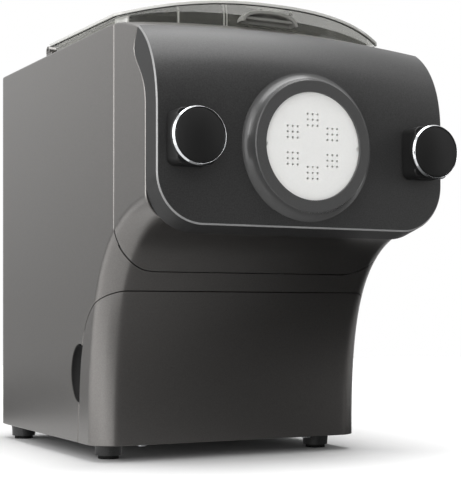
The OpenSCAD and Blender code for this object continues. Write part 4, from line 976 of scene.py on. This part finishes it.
def clear_plastic(name, colour, roughness, ior):
    """A clear moulded plastic: nearly smooth, tinted, and throwing only a faint shadow."""
    material = new_material(name)
    tree = material.node_tree
    place = add_node(tree, "TexCoord").outputs["Object"]
    wave = add_node(tree, "TexNoise", {"Vector": place, "Scale": 60.0, "Detail": 2.0}).outputs["Fac"]
    gloss = add_node(tree, "MapRange", {"Value": wave, "To Min": roughness * 0.5, "To Max": roughness * 1.5})
    bump = add_node(tree, "Bump", {"Height": wave, "Distance": 0.00002}).outputs[0]
    shader = add_node(tree, "BsdfPrincipled", {
        "Base Color": linear(colour), "Roughness": gloss.outputs[0], "IOR": ior,
        "Transmission Weight": 1.0, "Normal": bump
    })
    through = add_node(tree, "BsdfTransparent", {"Color": linear(colour)})
    shadow = add_node(tree, "LightPath").outputs["Is Shadow Ray"]
    mixed = add_node(tree, "MixShader", {0: shadow, 1: shader.outputs[0], 2: through.outputs[0]})
    add_node(tree, "OutputMaterial", {"Surface": mixed.outputs[0]})
    return material


# Smoky polycarbonate: it darkens what lies behind. The front of the skirt is thicker, so darker.
smoky_pc = clear_plastic("smoky_polycarbonate", "#b8b8b4", 0.03, 1.58)
deep_smoky_pc = clear_plastic("deep_smoky_polycarbonate", "#787874", 0.05, 1.58)
# The sides of the skirt and the ears behind are clouded by a fine texture, and look pale.
cloudy_pc = moulded("clouded_polycarbonate", "#8f8f8a", 0.3, 0.001, contrast=0.06, relief=0.00001)
looks = {"lid_cover_shell": smoky_pc, "lid_skirt_front": deep_smoky_pc}
for piece in parts:
    piece.data.materials.append(looks.get(piece.name, cloudy_pc))
    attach(piece, "lid")
    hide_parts("lid_cover")

# The cover's edge is polished and gathers the sheet's light in a pale line round the sides and
# front, painted as an opaque pale band.
EDGE_TOP = 0.0002
EDGE_LOW = 0.0021
EDGE_IN = 0.0012
ROUND = 0.004
turn = LID_HALF - ROUND
side_t = LUG_T - SIDE_END
side_line = [(LID_HALF, side_t - (side_t - LID_CORNER_T - ROUND) * i / 10) for i in range(11)]
nose = [(LID_HALF, LID_CORNER_T + ROUND), (LID_HALF, LID_CORNER_T + ROUND / 2), (LID_HALF, LID_CORNER_T),
        (turn, lid_front(turn))]
front_line = [(turn * (1 - i / 30), lid_front(turn * (1 - i / 30))) for i in range(1, 31)]
half_line = side_line + curve(nose, 8)[1:] + front_line
edge_line = half_line + [(-x, t) for x, t in reversed(half_line[:-1])]
bm = bmesh.new()
rings = []
for (x, t), (x_in, t_in) in zip(edge_line, moved_in(edge_line, -EDGE_IN)):
    z = lid_height(x, t)
    rings.append([bm.verts.new((a, FACE_Y + b, z - drop)) for a, b, drop in (
        (x, t, EDGE_TOP), (x_in, t_in, EDGE_TOP), (x_in, t_in, EDGE_LOW), (x, t, EDGE_LOW)
    )])
for one, two in zip(rings, rings[1:]):
    for i in range(4):
        bm.faces.new((one[i], one[i - 3], two[i - 3], two[i]))
bm.faces.new(rings[0])
bm.faces.new(rings[-1])
bmesh.ops.recalc_face_normals(bm, faces=bm.faces)
edge = to_mesh("lid_polished_edge", bm)
ease_edges(edge, 0.0002)
# The edge, the skirt's corners and the ribs that stiffen it are clear polycarbonate; the light
# they gather is painted as an opaque pale colour.
lid_edge_highlight = moulded("clear_edge_painted_highlight", "#c4c4c0", 0.12, 0.003, contrast=0.03, relief=0.0)
light_parts = [edge]
CORNER_L = 0.007
CORNER_OUT = 0.0022
CORNER_BOW = 0.0055
CORNER_WALL = 0.0012
CORNER_BACK = 0.0012
CORNER_NOSE = 0.002
for s, name in ((-1, "lid_corner_left"), (1, "lid_corner_right")):

    def skirt_corner(u, v, s=s):
        """A point on one of the skirt's corners: round to the front by u, and up by v."""
        turned_x = SKIRT_HALF + CORNER_OUT - CORNER_BOW * u * u
        t = LID_CORNER_T + CORNER_BACK + CORNER_L * (1 - u) - CORNER_NOSE * u
        return s * turned_x, FACE_Y + t, under_cover(turned_x, t, 0.0004, v)

    corner = to_mesh(name, thicken(sheet_of(8, 2, skirt_corner), (-s * CORNER_WALL, 0, 0)))
    cut(corner, housing_solid(-SEAM))
    light_parts.append(corner)
# Each rib: its place across and its width. It stands before the skirt's front wall.
RIBS = {
    "lid_rib_left": (-0.0605, 0.0010),
    "lid_rib_middle_a": (-0.0262, 0.0006),
    "lid_rib_middle_b": (-0.0240, 0.0006),
}
RIB_DEEP = 0.001
RIB_OUT = 0.0005
RIB_GAP = 0.0002
for name, (x, width) in RIBS.items():
    t = skirt_line(x) - RIB_OUT
    rib = block((x - width / 2, FACE_Y + t - RIB_DEEP, SIDE_H + 0.001),
                (x + width / 2, FACE_Y + t, lid_height(x, t) - LID_H - RIB_GAP))
    rib.name = name
    cut(rib, housing_solid(-SEAM))
    light_parts.append(rib)
for piece in light_parts:
    piece.data.materials.append(lid_edge_highlight)
    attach(piece, "lid")
    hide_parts("lid_cover")

# The grip is a curved bridge with a bar across it, pinned under the lid's front edge.
grip_low, grip_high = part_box("lid_grip")
GRIP_HALF = grip_high[0]
GRIP_TOP = grip_high[2]
GRIP_FOOT = grip_low[2]
GRIP_H = GRIP_TOP - GRIP_FOOT
grip_start, grip_end = grip_low[1] - FACE_Y, grip_high[1] - FACE_Y
BRIDGE_WALL = 0.0022
BRIDGE_BACK = 0.0015
# The bar's corners, measured inwards from the grip's ends, front and back, and up from its foot.
BAR_END = 0.003
BAR_FRONT = 0.002
BAR_BACK = 0.0012
BAR_LOW = 0.0022
BAR_HIGH = 0.0042


def bridge_line(inset):
    """An arch from its foot on the right over to its foot on the left."""
    half, high = GRIP_HALF - inset, GRIP_FOOT + GRIP_H - inset
    shoulder = GRIP_FOOT + 0.8 * (GRIP_H - inset)
    right = curve([(half, GRIP_FOOT), (half - 0.001, shoulder), (half - 0.010, high), (0.0, high)], 14)
    return right + [(-x, z) for x, z in reversed(right[:-1])]


bridge = to_mesh("lid_grip_bridge", prism(bridge_line(0.0), grip_start, grip_end, across="Y"))
hollow = [(x, z - HAIR) for x, z in bridge_line(BRIDGE_WALL)]
cut(bridge, to_mesh("hollow", prism(hollow, grip_start - 0.001, grip_end - BRIDGE_BACK, across="Y")))
ease_edges(bridge, 0.0005, 25)
bar = block(
    (-GRIP_HALF + BAR_END, grip_low[1] + BAR_FRONT, GRIP_FOOT + BAR_LOW),
    (GRIP_HALF - BAR_END, grip_high[1] - BAR_BACK, GRIP_FOOT + BAR_HIGH)
)
bar.name = "lid_grip_bar"
ease_edges(bar, 0.0006)
# Grey gloss PC, lighter than the housing where it faces up.
grey_pc = moulded("smoke_grey_gloss_pc", "#8c8c88", 0.16, 0.001, contrast=0.06, relief=0.00001)
DOME_R = 0.0013
DOMES = {"lid_grip_pin_left": -0.0065, "lid_grip_pin_right": 0.0165}
domes = []
for name, x in DOMES.items():
    bm = bmesh.new()
    bmesh.ops.create_uvsphere(bm, u_segments=24, v_segments=16, radius=DOME_R)
    bmesh.ops.translate(bm, vec=(x, grip_low[1] + 0.0016, GRIP_TOP - 0.0002), verts=bm.verts)
    for face in bm.faces:
        face.smooth = True
    domes.append(to_mesh(name, bm))
for piece in (bridge, bar, *domes):
    piece.data.materials.append(grey_pc)
    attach(piece, "lid")
    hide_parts("lid_grip")

# --- What stays as it is built ------------------------------------------------------------
# The other pieces keep their built shape. Each gets the finish of its own material, and its
# edges are eased as its mould or tool leaves them.
finishes = {
    "housing": mica_abs,
    "panel": spark_abs,
    "black": matt_black,
    "ring": gloss_ring,
    "chrome": chrome,
    "smoke": smoky_pc,
    # White POM for discs and paddle: dense, faintly waxy.
    "white": moulded("white_pom", "#e6e6e4", 0.32, 0.0015, contrast=0.03, relief=0.00001),
    # Drawn and ground steel, aluminium die casting, and turned brass.
    "steel": metal("bright_steel", "#b9bbbd", 0.28),
    "cast": metal("die_cast_aluminium", "#9a9c9f", 0.5, grain=0.0012, relief=0.00003),
    "brass": metal("turned_brass", "#b08d4a", 0.3),
    # Natural nylon gears: ivory, slightly cloudy.
    "nylon": moulded("natural_nylon", "#d9d4c4", 0.38, 0.002, contrast=0.04),
    # Black TPE; the recess bowls also wear it as painted shade.
    "rubber": black_rubber_and_recess_shade,
    # Green glass-epoxy laminate under solder mask.
    "board": moulded("green_epoxy_laminate", "#2c5a3c", 0.35, 0.001, contrast=0.08),
    # Black acrylic over the display.
    "window": moulded("black_acrylic", "#08080a", 0.06, 0.002, contrast=0.02, relief=0.0),
}
finish_of = {"hinge_brackets": mica_abs, "foot_collars": spark_abs}
EASED = 0.0003
EASED_ANGLE = math.radians(40)
for part in frame["record"]["subparts"]:
    node = frame["nodes"][part["node"]]
    node.data.materials.clear()
    node.data.materials.append(finish_of.get(part["node"], finishes[part["material_slot"]]))
    if node.hide_render:
        continue
    node.data.polygons.foreach_set("use_smooth", [True] * len(node.data.polygons))
    weld = node.modifiers.new("weld", "WELD")
    weld.merge_threshold = 0.00001
    ease = node.modifiers.new("eased edges", "BEVEL")
    ease.width = EASED
    ease.segments = 2
    ease.limit_method = "ANGLE"
    ease.angle_limit = EASED_ANGLE
    ease.harden_normals = True
    keep_flat(node)

bpy.context.view_layer.update()
